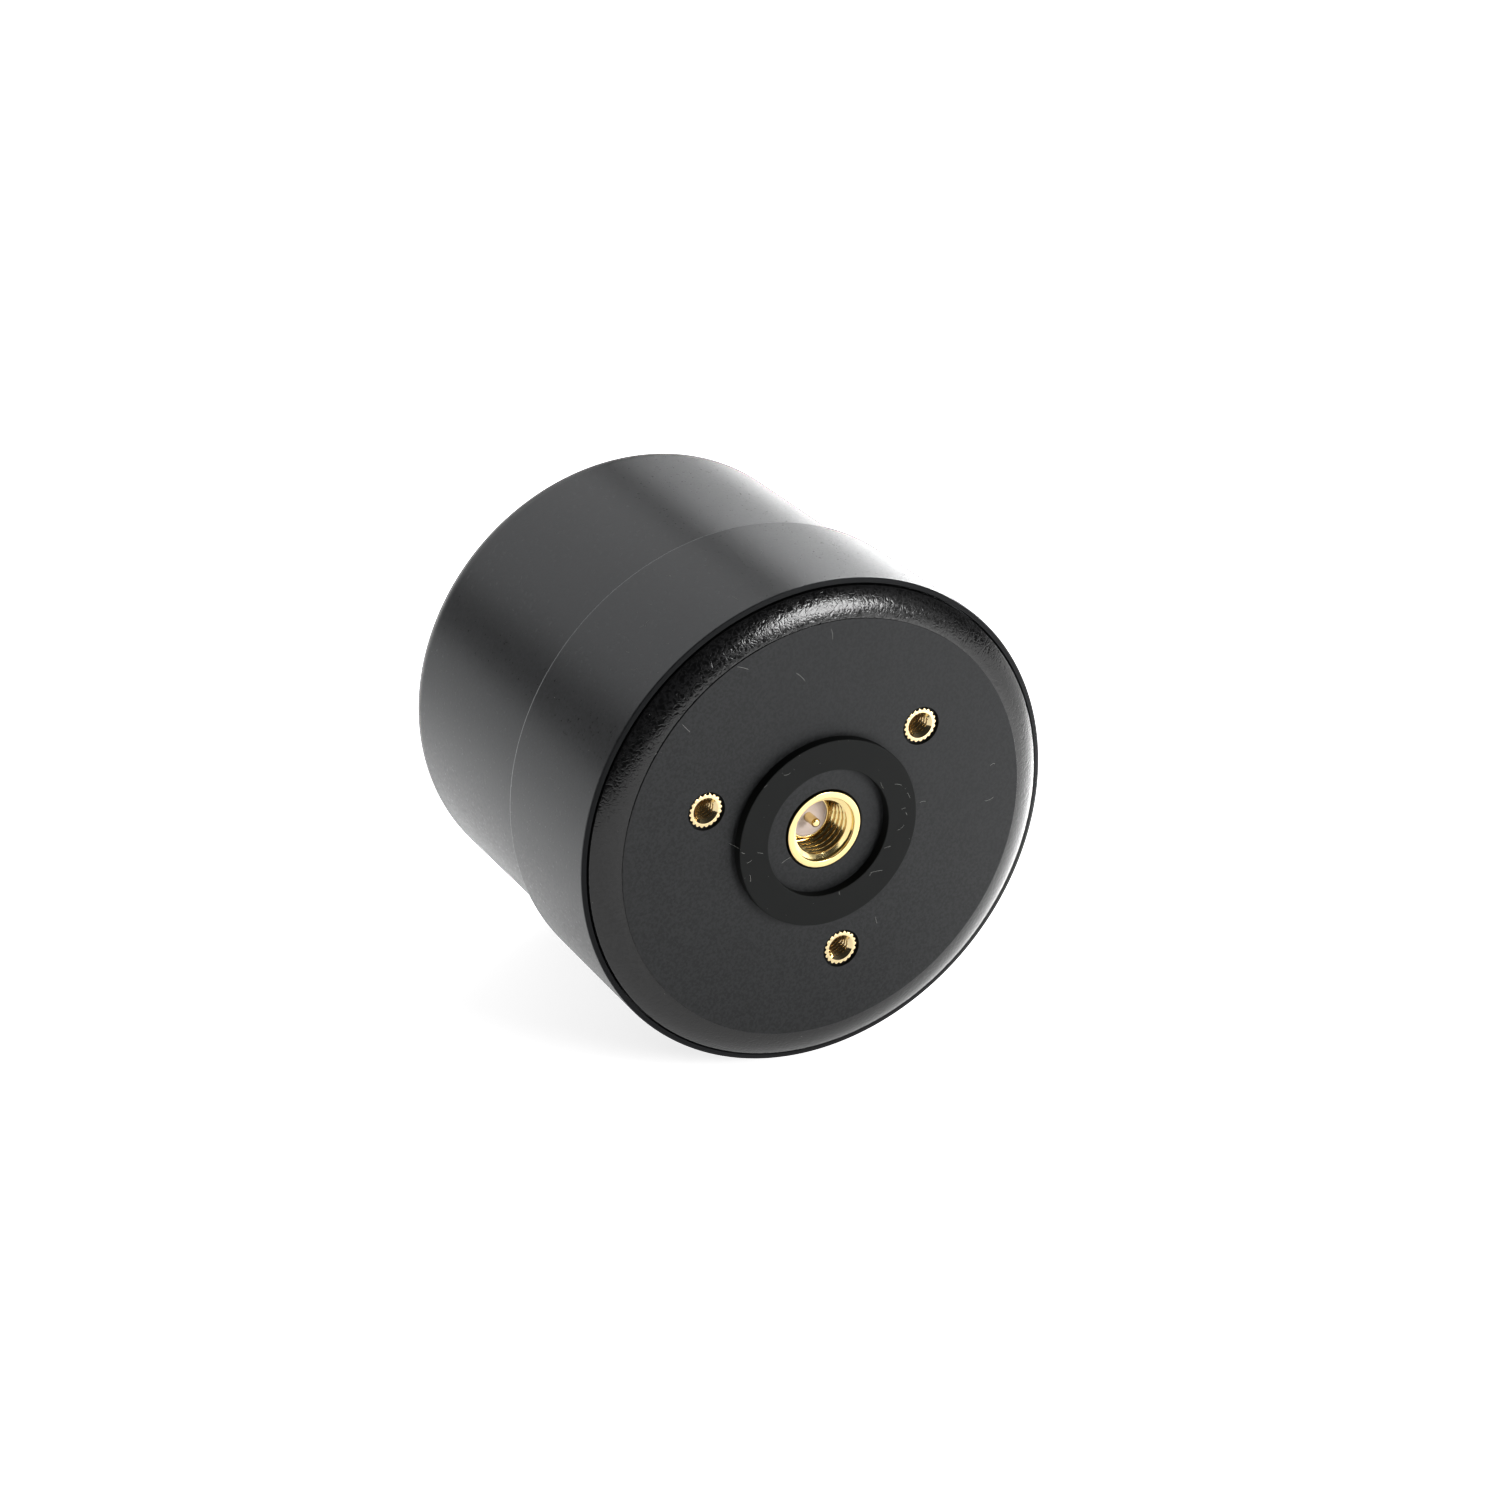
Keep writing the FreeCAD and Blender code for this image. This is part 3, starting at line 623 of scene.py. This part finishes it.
class BuildRadome(bpy.types.Operator):
    """Builds the stepped radome with its finish"""
    bl_idname = "antenna.build_radome"
    bl_label = "Radome"

    def execute(self, context):
        shell = context.scene.antenna_radome
        rim, ledge, foot, head, low, step, top, dome_round = [value / MM for value in (
            shell.rim_radius, shell.ledge_radius, shell.foot_radius, shell.head_radius,
            shell.rim_level, shell.ledge_level, shell.top_level, shell.dome_round)]
        lip, bore, wall, roof, corner = 0.5, 22.7, 2.2, 2.0, 1.0
        groove_depth, groove_half = 0.3, 0.5
        rim_fall, rim_chamfer = 0.12, 0.06
        points = [
            (0.0, top - roof), (head - wall - corner, top - roof), (head - wall, top - roof - corner),
            (foot - wall, step - wall), (bore, step - wall), (bore, SNAP_LEVEL + groove_half),
            (bore + groove_depth, SNAP_LEVEL), (bore, SNAP_LEVEL - groove_half), (bore, SEAT_LEVEL),
            (rim - lip, SEAT_LEVEL), (rim - lip, low), (rim - rim_chamfer, low + rim_fall),
            (rim, low + rim_fall + rim_chamfer), (ledge, step), (foot, step), (head, top), (0.0, top),
        ]
        rounds = [(dome_round, 16, [15]), (0.3, 6, [13]), (0.12, 3, [14]), (0.05, 3, [10, 11, 12])]
        bm = spun(points, rounds, closed=False)
        face_end = low + rim_fall + 0.01
        # The rim's faces get the second finish, whose darker colour is painted shade.
        mark(bm, lambda across, level: level < face_end and across > rim - lip)
        finished("radome_shell", bm, [satin_plastic(shell), rim_plastic(shell)],
                 ["radome"])
        return {"FINISHED"}


class BuildBaseCover(bpy.types.Operator):
    """Builds the base cover with its pad, bevel, bosses and ribs"""
    bl_idname = "antenna.build_base_cover"
    bl_label = "Base cover"

    def execute(self, context):
        cover = context.scene.antenna_cover
        pad, level, step, drop, edge = [value / MM for value in (
            cover.pad_radius, cover.pad_level, cover.pad_step, cover.bevel_drop, cover.cover_radius)]
        socket_hole, plug, inside = 4.12, 22.5, 19.9
        groove_radius, groove_low, groove_high = 21.3, 4.9, 6.5
        rib_height, rib_half, root_depth = 0.4, 0.4, 0.4
        segments = 18
        bend, start, sweep = bevel_arc(cover)
        top = level + step
        slopes = [start + sweep * index / segments for index in range(segments)]
        bevel = [(pad + bend * (sin(slope) - sin(start)), top + bend * (cos(start) - cos(slope)))
                 for slope in slopes]
        points = [(socket_hole, PAD_BACK), (socket_hole, level), (pad, level), *bevel,
                  (edge, top + drop), (edge, SEAT_LEVEL), (plug, SEAT_LEVEL), (plug, groove_low),
                  (groove_radius, groove_low), (groove_radius, groove_high), (plug, groove_high),
                  (plug, SNAP_LEVEL - rib_half), (plug + rib_height, SNAP_LEVEL),
                  (plug, SNAP_LEVEL + rib_half), (plug, BOARD_LEVEL), (inside, BOARD_LEVEL),
                  (inside, PAD_BACK)]
        rounds = [(0.04, 3, [2]), (0.06, 3, [1]), (0.1, 3, [3 + segments])]
        bm = spun(points, rounds)
        insert_places = on_circle(context.scene.antenna_inserts.circle_radius / MM, 3)
        screw_places = on_circle(SCREW_CIRCLE, 3, pi)
        bosses = bmesh.new()
        for place in insert_places:
            post(bosses, 3.28, PAD_BACK - root_depth, 7.55, place)
        for place in screw_places:
            post(bosses, 2.3, PAD_BACK - root_depth, BOARD_LEVEL, place)
        for turn in (0.0, tau / 3, 2 * tau / 3):
            block(bosses, (11.8, 1.2, 2.0), (-11.5, 0.0, PAD_BACK + 0.6), turn)
        bm = joined(bm, bosses, "UNION")
        holes = bmesh.new()
        for place in insert_places:
            post(holes, 1.96, level - 0.5, level + 0.6, place)
            post(holes, 1.78, level + 0.3, 6.05, place)
        for place in screw_places:
            post(holes, 0.97, 4.8, BOARD_LEVEL + 0.5, place, 32)
        bm = joined(bm, holes, "DIFFERENCE")
        mark(bm, lambda across, level: across > pad - 0.02 and level < SEAT_LEVEL)
        finished("base_cover_shell", bm, [pad_plastic(cover), bevel_plastic(cover)],
                 ["base_cover"])
        return {"FINISHED"}


class BuildGasket(bpy.types.Operator):
    """Builds the flat rubber gasket"""
    bl_idname = "antenna.build_gasket"
    bl_label = "Gasket"

    def execute(self, context):
        ring = context.scene.antenna_gasket
        inner, outer, face, pad = [value / MM for value in (
            ring.inner_radius, ring.outer_radius, ring.face_level,
            context.scene.antenna_cover.pad_level)]
        points = [(inner, face), (outer, face), (outer, pad), (inner, pad)]
        bm = spun(points, [(ring.edge_round / MM, 4, [0, 1])])
        finished("gasket", bm, [rubber("gasket_rubber", ring.colour)], ["gasket_ring"])
        return {"FINISHED"}


class BuildSocket(bpy.types.Operator):
    """Builds the threaded sleeve with its ferrule, insulator and pin"""
    bl_idname = "antenna.build_socket"
    bl_label = "Coaxial socket"

    def execute(self, context):
        socket = context.scene.antenna_socket
        sleeve, mouth, crest, root, pitch = [value / MM for value in (
            socket.sleeve_radius, socket.mouth_radius, socket.crest_radius, socket.root_radius,
            socket.pitch)]
        lip, lead, deep = 0.85, 1.35, 5.35
        ferrule_top, ferrule_outer, ferrule_inner = 4.0, 2.32, 2.05
        core_radius, flange_radius, flange_top = 3.6, 5.4, 4.6
        thread_start, thread_end = lead + 0.12, deep - 0.2
        wall = column(crest, thread_start, thread_end, 0.03)
        points = [(sleeve, lip), (mouth, lip), (mouth, lead), (crest, thread_start + 0.015), *wall,
                  (crest, deep), (ferrule_outer, deep), (ferrule_outer, ferrule_top),
                  (ferrule_inner, ferrule_top), (ferrule_inner, BOARD_LEVEL),
                  (core_radius, BOARD_LEVEL), (core_radius, flange_top), (flange_radius, flange_top),
                  (flange_radius, PAD_BACK), (sleeve, PAD_BACK)]
        end = 4 + len(wall)
        rounds = [(0.07, 3, [0, 1]), (0.05, 2, [end + 2, end + 3])]
        bm = spun(points, rounds, steps=SMALL_STEPS)
        cut_thread(bm, thread_start, thread_end, crest, root, pitch, 0.22)
        bm = joined(bm, self.square_block(), "UNION")
        # The thread's roots get a darker gold, a painted shade.
        mark_thread(bm, thread_start, thread_end, crest, root)
        gold = plated("socket_gold", socket.gold, 0.1)
        root_shade = plated("socket_root_shade", socket.root_shade_tone, 0.25)
        finished("socket_body", bm, [gold, root_shade], ["connector_body"])
        hole, rim, face = 0.47, 2.04, 4.06
        disc = spun([(hole, face), (rim, face), (rim, BOARD_LEVEL), (hole, BOARD_LEVEL)],
                    [(0.04, 2, [1])], steps=SMALL_STEPS)
        pale = moulded("insulator_pale", socket.pale, 0.45, scale=2500.0, depth=0.006, spread=0.05)
        finished("socket_insulator", disc, [pale], ["connector_insulator"])
        radius, tip, tail = 0.46, 2.35, 10.8
        pin = spun([(0.0, tail), (radius, tail), (radius, tip), (0.0, tip)], [(0.25, 8, [2])],
                   closed=False, steps=64)
        finished("socket_pin", pin, [plated("pin_gold", socket.gold, 0.12)],
                 ["connector_pin"])
        return {"FINISHED"}

    def square_block(self):
        """The square block behind the flange, hollow round the axis, with its four legs."""
        side, height, middle, hollow, leg_offset = 7.2, 4.4, 6.8, 3.4, 2.54
        body = bmesh.new()
        block(body, (side, side, height), (0.0, 0.0, middle))
        core = bmesh.new()
        post(core, hollow, 4.0, 9.6)
        body = joined(body, core, "DIFFERENCE")
        for place in on_circle(sqrt(2) * leg_offset, 4, pi / 4):
            post(body, 0.45, 8.6, 10.8, place, 32)
        return body


class BuildInserts(bpy.types.Operator):
    """Builds the three knurled brass inserts"""
    bl_idname = "antenna.build_inserts"
    bl_label = "Brass inserts"

    def execute(self, context):
        insert = context.scene.antenna_inserts
        radius, knurl, mouth, crest, root, pitch = [value / MM for value in (
            insert.radius, insert.knurl_depth, insert.mouth_radius, insert.crest_radius,
            insert.root_radius, insert.pitch)]
        tall, waist_low, waist_high = 4.5, 1.85, 2.65
        waist = radius - 0.25
        start, end = mouth - crest, tall - 0.1
        brass = plated("insert_brass", insert.brass, 0.12)
        root_shade = plated("insert_root_shade", insert.root_shade_tone, 0.3)
        for index, place in enumerate(on_circle(insert.circle_radius / MM, 3), start=1):
            wall = column(crest, start, end, pitch / 14)
            points = [(crest, start), *wall, (crest, tall), (radius, tall), (radius, waist_high),
                      (waist, waist_high), (waist, waist_low), (radius, waist_low), (radius, 0.0),
                      (mouth, 0.0)]
            rounds = [(0.06, 2, [len(points) - 2])]
            bm = spun(points, rounds, steps=SMALL_STEPS)
            cut_thread(bm, start, end, crest, root, pitch, 0.12)
            # The thread's roots get a darker brass, a painted shade.
            mark_thread(bm, start, end, crest, root)
            self.cut_knurl(bm, radius, knurl, insert.teeth)
            bmesh.ops.translate(bm, vec=(*place, INSERT_FOOT), verts=bm.verts)
            finished(f"insert_{index}", bm, [brass, root_shade], [f"brass_insert_{index}"])
        return {"FINISHED"}

    def cut_knurl(self, bm, radius, depth, teeth):
        """Draws the outer wall in to straight grooves with sharpened bottoms."""
        wall_depth, sharpness = 0.1, 1.6
        for vert in bm.verts:
            across = hypot(vert.co.x, vert.co.y)
            if across > radius - wall_depth:
                wave = 0.5 - 0.5 * cos(teeth * atan2(vert.co.y, vert.co.x))
                scale = 1.0 - depth * wave ** sharpness / across
                vert.co.x *= scale
                vert.co.y *= scale


# Lint: places as (angle, height) on the radome's side, and as (radius, angle) on the base, in degrees
# and millimetres. A strand runs through three of them, and a grain of dust sits on one.
SIDE_STRANDS = (
    ((-73.5, 15.17), (-72.8, 15.07), (-73.0, 14.59)),
    ((-81.3, 13.06), (-81.0, 12.73), (-81.0, 12.4)),
    ((-86.7, 10.93), (-85.8, 10.8), (-84.1, 10.86)),
    ((-85.7, 10.45), (-85.3, 10.66), (-84.8, 10.81)),
    ((-94.9, 7.41), (-94.6, 6.87), (-93.9, 6.65)),
    ((-92.5, 9.91), (-92.5, 9.59), (-92.3, 9.36)),
    ((-68.1, 5.91), (-67.9, 5.48), (-67.9, 5.03)),
    ((-86.2, 6.25), (-85.7, 6.09), (-85.5, 5.74)),
)
BASE_STRANDS = (
    ((21.59, -96.7), (21.23, -97.2), (20.66, -97.6)),
    ((20.66, -97.6), (20.26, -97.7), (19.79, -97.8)),
    ((21.63, -107.4), (21.55, -106.6), (21.19, -106.3)),
    ((21.3, -77.3), (20.9, -76.1), (20.34, -75.0)),
    ((20.81, -49.6), (20.27, -48.8), (19.73, -49.1)),
    ((18.61, 31.3), (18.92, 30.6), (19.12, 31.3)),
    ((17.97, 42.8), (18.54, 43.0), (18.91, 42.0)),
    ((17.36, -61.5), (16.88, -59.9), (16.2, -58.9)),
    ((12.38, 100.5), (12.68, 101.3), (13.11, 101.5)),
    ((10.61, 37.1), (10.92, 36.6), (11.22, 37.3)),
    ((5.22, -170.2), (4.7, -169.8), (4.16, -171.8)),
    ((10.26, -135.9), (9.98, -136.5), (9.58, -137.6)),
    ((9.58, -98.4), (9.55, -97.1), (9.5, -96.3)),
    ((9.44, -139.6), (9.27, -140.5), (9.09, -140.9)),
    ((8.93, -147.7), (8.64, -147.8), (8.41, -146.8)),
    ((8.88, 24.1), (9.03, 26.1), (9.03, 28.3)),
    ((8.86, -156.5), (8.85, -158.9), (9.03, -161.1)),
    ((8.84, -85.1), (8.5, -83.6), (8.53, -81.1)),
    ((8.44, 37.4), (8.58, 38.5), (8.55, 39.4)),
    ((8.01, 34.1), (8.22, 33.7), (8.46, 34.2)),
    ((8.01, 12.7), (8.32, 14.3), (8.57, 16.7)),
    ((7.75, -142.7), (7.48, -142.9), (7.16, -144.6)),
    ((7.7, 50.0), (8.13, 49.2), (8.36, 46.4)),
    ((7.27, 90.2), (7.17, 88.7), (7.17, 87.2)),
    ((7.1, 87.8), (7.46, 84.2), (8.05, 81.1)),
    ((6.94, 2.9), (6.8, 5.6), (6.81, 9.0)),
    ((6.87, 65.5), (7.14, 63.6), (7.48, 62.7)),
    ((6.65, 118.2), (6.8, 119.1), (7.04, 118.3)),
)
SIDE_SPECKS = (
    (-91.8, 3.7), (-114.4, 6.3), (-94.2, 4.3), (-90.7, 8.9), (-80.0, 12.8), (-82.7, 7.0),
    (-82.6, 5.0), (-84.4, 13.1), (-110.4, 15.4),
)
BASE_SPECKS = (
    (24.18, -147.1), (23.92, -100.1), (22.26, 134.2), (21.76, -179.4), (9.89, 146.9), (9.55, -45.4),
    (9.55, -39.0), (9.55, -83.4), (9.55, -71.1), (9.55, -146.1), (9.44, -156.9), (9.32, 55.9),
    (9.23, 174.8), (9.07, -85.3), (8.91, 159.8), (8.81, 20.4), (8.55, -77.8), (7.95, -106.4),
    (7.84, -115.4), (7.73, -58.8), (7.67, -6.4), (7.3, 141.8), (7.19, -166.0),
)


class BuildLint(bpy.types.Operator):
    """Lays the lint fibres and the grains of dust on the antenna"""
    bl_idname = "antenna.build_lint"
    bl_label = "Lint"

    def execute(self, context):
        lint = context.scene.antenna_lint
        strand, speck = lint.strand_radius / MM, lint.speck_radius / MM
        curve = bpy.data.curves.new("lint", "CURVE")
        curve.dimensions = "3D"
        curve.bevel_depth = strand
        curve.bevel_resolution = 1
        curve.use_fill_caps = True
        side = [[self.on_side(context.scene, *spot) for spot in line] for line in SIDE_STRANDS]
        base = [[self.on_base(context.scene, *spot, strand) for spot in line] for line in BASE_STRANDS]
        for line in side + base:
            path = curve.splines.new("NURBS")
            path.points.add(len(line) - 1)
            for point, place in zip(path.points, line):
                point.co = (*place, 1.0)
            path.order_u = 3
            path.use_endpoint_u = True
            path.resolution_u = 5
        strands = bpy.data.objects.new("lint", curve)
        context.scene.collection.objects.link(strands)
        bm = bmesh.new()
        bm.from_mesh(strands.evaluated_get(context.evaluated_depsgraph_get()).to_mesh())
        bpy.data.objects.remove(strands)
        bpy.data.curves.remove(curve)
        places = [self.on_side(context.scene, *spot) for spot in SIDE_SPECKS]
        places += [self.on_base(context.scene, *spot, speck) for spot in BASE_SPECKS]
        for place in places:
            bmesh.ops.create_icosphere(bm, subdivisions=1, radius=speck,
                                       matrix=Matrix.Translation(place))
        bmesh.ops.recalc_face_normals(bm, faces=bm.faces)
        pale = moulded("lint_fibre", lint.colour, 0.8, scale=9000.0, depth=0.002)
        finished("lint", bm, [pale])
        return {"FINISHED"}

    def on_side(self, scene, angle, height):
        """A place on the skirt of the radome, in millimetres."""
        shell = scene.antenna_radome
        share = (height - shell.rim_level / MM) / ((shell.ledge_level - shell.rim_level) / MM)
        radius = (shell.rim_radius + (shell.ledge_radius - shell.rim_radius) * share) / MM
        return Vector((radius * cos(radians(angle)), radius * sin(radians(angle)), height))

    def on_base(self, scene, radius, angle, rise):
        """A place on the pad or the bevel, or as high on the gasket as the rise, in millimetres."""
        cover, ring = scene.antenna_cover, scene.antenna_gasket
        level = cover.pad_level / MM
        beyond = radius - cover.pad_radius / MM
        if ring.inner_radius / MM < radius < ring.outer_radius / MM:
            level = rise
        elif beyond > 0.0:
            bend, start, _ = bevel_arc(cover)
            level += cover.pad_step / MM + bend * (cos(start) - cos(asin(sin(start) + beyond / bend)))
        return Vector((radius * cos(radians(angle)), radius * sin(radians(angle)), level))


class DressInside(bpy.types.Operator):
    """Gives the parts inside the radome their finishes"""
    bl_idname = "antenna.dress_inside"
    bl_label = "Inside parts"

    def execute(self, context):
        board = laminate("board_mask", (0.02, 0.12, 0.05))
        epoxy = moulded("chip_epoxy", (0.02, 0.02, 0.02), 0.5, scale=6000.0)
        screw = plated("screw_zinc", (0.62, 0.62, 0.6), 0.3)
        copper = plated("arm_copper", (0.88, 0.47, 0.3), 0.28)
        finishes = {
            "amplifier_board": board, "crown_board": board, "amplifier_chip": epoxy,
            "regulator_chip": epoxy, **{f"board_screw_{number}": screw for number in (1, 2, 3)},
            **{f"helix_arm_{number}": copper for number in (1, 2, 3, 4)},
            "shield_can": plated("can_tin", (0.72, 0.72, 0.7), 0.35),
            "band_filter": moulded("filter_ceramic", (0.7, 0.64, 0.52), 0.4, scale=4000.0),
            "helix_former": moulded("former_plastic", (0.72, 0.72, 0.7), 0.5),
            "helix_film": moulded("film_polyimide", (0.5, 0.22, 0.04), 0.2, scale=1500.0, depth=0.004),
            "foam_pad": moulded("foam_cells", (0.05, 0.05, 0.05), 0.9, scale=1800.0, depth=0.15,
                                spread=0.4),
            "seal_ring": rubber("seal_rubber", (0.018, 0.018, 0.018)),
        }
        for node, material in finishes.items():
            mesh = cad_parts[node].data
            mesh.materials.clear()
            mesh.materials.append(material)
        return {"FINISHED"}


# Light panels: name, direction from the antenna, distance and side in metres, and brightness.
PANELS = [
    ("front_box", (0.54, 0.03, -0.84), 0.7, 0.25, 16.0),
    ("side_box", (0.71, 0.36, 0.6), 0.7, 0.3, 11.0),
    ("back_box", (0.74, -0.03, 0.67), 0.7, 0.27, 4.7),
    ("top_back_box", (0.21, -0.5, 0.78), 0.7, 0.6, 1.0),
    ("edge_box", (0.67, 0.27, -0.67), 0.7, 0.4, 0.35),
]

# Pools of light painted on the floor as its glow: centre and reach in metres, and strength.
PAINTED_LIGHT_POOLS = [
    ((0.039, 0.0633, 0.03), 0.075, 5.5),
    ((0.0429, 0.0664, -0.06), 0.075, 1.2),
    ((0.0859, 0.1008, -0.2), 0.085, 4.0),
    ((0.0859, 0.1008, 0.14), 0.08, 2.8),
    ((-0.0234, 0.0133, 0.08), 0.09, 0.6),
]


class BuildStage(bpy.types.Operator):
    """Sets the camera, the floor behind the antenna's side and the studio light"""
    bl_idname = "antenna.build_stage"
    bl_label = "Studio"

    def execute(self, context):
        stage = context.scene.antenna_stage
        self.set_camera(context.scene, stage)
        self.set_world(context.scene, stage)
        self.set_floor(context.scene, stage)
        self.set_lights(context.scene)
        context.scene.view_settings.view_transform = "Standard"
        return {"FINISHED"}

    def set_camera(self, scene, stage):
        """The camera at the photograph's angle."""
        data = bpy.data.cameras.new("camera")
        data.lens = stage.lens
        data.clip_start = 0.02
        camera = bpy.data.objects.new("camera", data)
        camera.location = stage.camera_place
        camera.rotation_euler = Euler(stage.camera_turn)
        scene.collection.objects.link(camera)
        scene.camera = camera

    def set_world(self, scene, stage):
        """White to the camera, and a soft surround for the antenna that is darker round the camera."""
        world = bpy.data.worlds.new("studio")
        world.use_nodes = True
        nodes, links = world.node_tree.nodes, world.node_tree.links
        ground = nodes["Background"]
        ground.inputs["Color"].default_value = (1.0, 1.0, 1.0, 1.0)
        place = nodes.new("ShaderNodeTexCoord")
        along = nodes.new("ShaderNodeVectorMath")
        along.operation = "DOT_PRODUCT"
        along.inputs[1].default_value = stage.bright_side
        links.new(place.outputs["Generated"], along.inputs[0])
        surround = nodes.new("ShaderNodeMapRange")
        surround.interpolation_type = "SMOOTHSTEP"
        span = {"From Min": -0.6, "From Max": 0.5, "To Min": stage.dark, "To Max": stage.fill}
        for name, value in span.items():
            surround.inputs[name].default_value = value
        links.new(along.outputs["Value"], surround.inputs["Value"])
        path = nodes.new("ShaderNodeLightPath")
        strength = nodes.new("ShaderNodeMapRange")
        strength.inputs["To Max"].default_value = stage.backdrop
        links.new(surround.outputs["Result"], strength.inputs["To Min"])
        links.new(path.outputs["Is Camera Ray"], strength.inputs["Value"])
        links.new(strength.outputs["Result"], ground.inputs["Strength"])
        scene.world = world

    def set_floor(self, scene, stage):
        """The white floor, glowing with painted light in bright pools, a hair off the antenna's side,
        which also catches its shadow.
        """
        bm = bmesh.new()
        bmesh.ops.create_grid(bm, x_segments=1, y_segments=1, size=1.5)
        rim = Vector((0.02504, 0.0, 0.00285))
        ledge = Vector((0.02464, 0.0, 0.0185))
        slope = (ledge - rim).normalized()
        across = Vector((0.0, -1.0, 0.0))
        facing = across.cross(slope)
        turn = Matrix((across, slope, facing)).transposed().to_4x4()
        place = Matrix.Rotation(stage.floor_side + pi, 4, "Z") @ Matrix.Translation(rim) @ turn
        bmesh.ops.transform(bm, matrix=place, verts=bm.verts)
        mesh = bpy.data.meshes.new("floor")
        bm.to_mesh(mesh)
        bm.free()
        finish = Finish("floor_white", roughness=0.8)
        cloud = finish.noise(4.0)
        # The floor's glow and its bright patches are painted light: the floor shines of itself.
        patches = [finish.patch(*place) for place in PAINTED_LIGHT_POOLS]
        finish.set(base_color=finish.blend(cloud, (0.9, 0.9, 0.89), (0.93, 0.93, 0.93)),
                   emission_color=sum(patches, stage.floor_glow), emission_strength=1.0)
        finish.clear_behind()
        mesh.materials.append(finish.material)
        floor = bpy.data.objects.new("floor", mesh)
        floor.is_shadow_catcher = True
        scene.collection.objects.link(floor)

    def set_lights(self, scene):
        """Soft square panels round the antenna, each as bright as its table line says."""
        for name, direction, distance, size, glow in PANELS:
            data = bpy.data.lights.new(name, "AREA")
            data.shape = "SQUARE"
            data.size = size
            data.energy = glow * pi * size ** 2
            lamp = bpy.data.objects.new(name, data)
            back = Vector(direction).normalized()
            lamp.location = back * distance
            lamp.rotation_mode = "QUATERNION"
            lamp.rotation_quaternion = back.to_track_quat("Z", "Y")
            lamp.visible_camera = False
            scene.collection.objects.link(lamp)


STEPS = (BuildRadome, BuildBaseCover, BuildGasket, BuildSocket, BuildInserts, BuildLint, DressInside,
         BuildStage)


class AntennaPanel(bpy.types.Panel):
    """Lists the steps that build the antenna and its studio"""
    bl_idname = "ANTENNA_PT_steps"
    bl_label = "Helix Antenna"
    bl_space_type = "VIEW_3D"
    bl_region_type = "UI"
    bl_category = "Antenna"

    def draw(self, context):
        for step in STEPS:
            self.layout.operator(step.bl_idname)
        for name in SETTINGS:
            box = self.layout.box()
            group = getattr(context.scene, name)
            for prop in group.__annotations__:
                box.prop(group, prop)


SETTINGS = {
    "antenna_radome": RadomeSettings,
    "antenna_cover": CoverSettings,
    "antenna_gasket": GasketSettings,
    "antenna_socket": SocketSettings,
    "antenna_inserts": InsertSettings,
    "antenna_lint": LintSettings,
    "antenna_stage": StageSettings,
}


def register():
    """Registers every class and hangs the settings on the scene."""
    for item in (*SETTINGS.values(), *STEPS, AntennaPanel):
        bpy.utils.register_class(item)
    for name, group in SETTINGS.items():
        setattr(bpy.types.Scene, name, bpy.props.PointerProperty(type=group))


def unregister():
    """Takes the settings and every class away again."""
    for name in SETTINGS:
        delattr(bpy.types.Scene, name)
    for item in reversed((*SETTINGS.values(), *STEPS, AntennaPanel)):
        bpy.utils.unregister_class(item)


def main():
    """Builds the antenna and its studio, step by step."""
    register()
    bpy.ops.antenna.build_radome()
    bpy.ops.antenna.build_base_cover()
    bpy.ops.antenna.build_gasket()
    bpy.ops.antenna.build_socket()
    bpy.ops.antenna.build_inserts()
    bpy.ops.antenna.build_lint()
    bpy.ops.antenna.dress_inside()
    bpy.ops.antenna.build_stage()


if __name__ == "__main__":
    main()
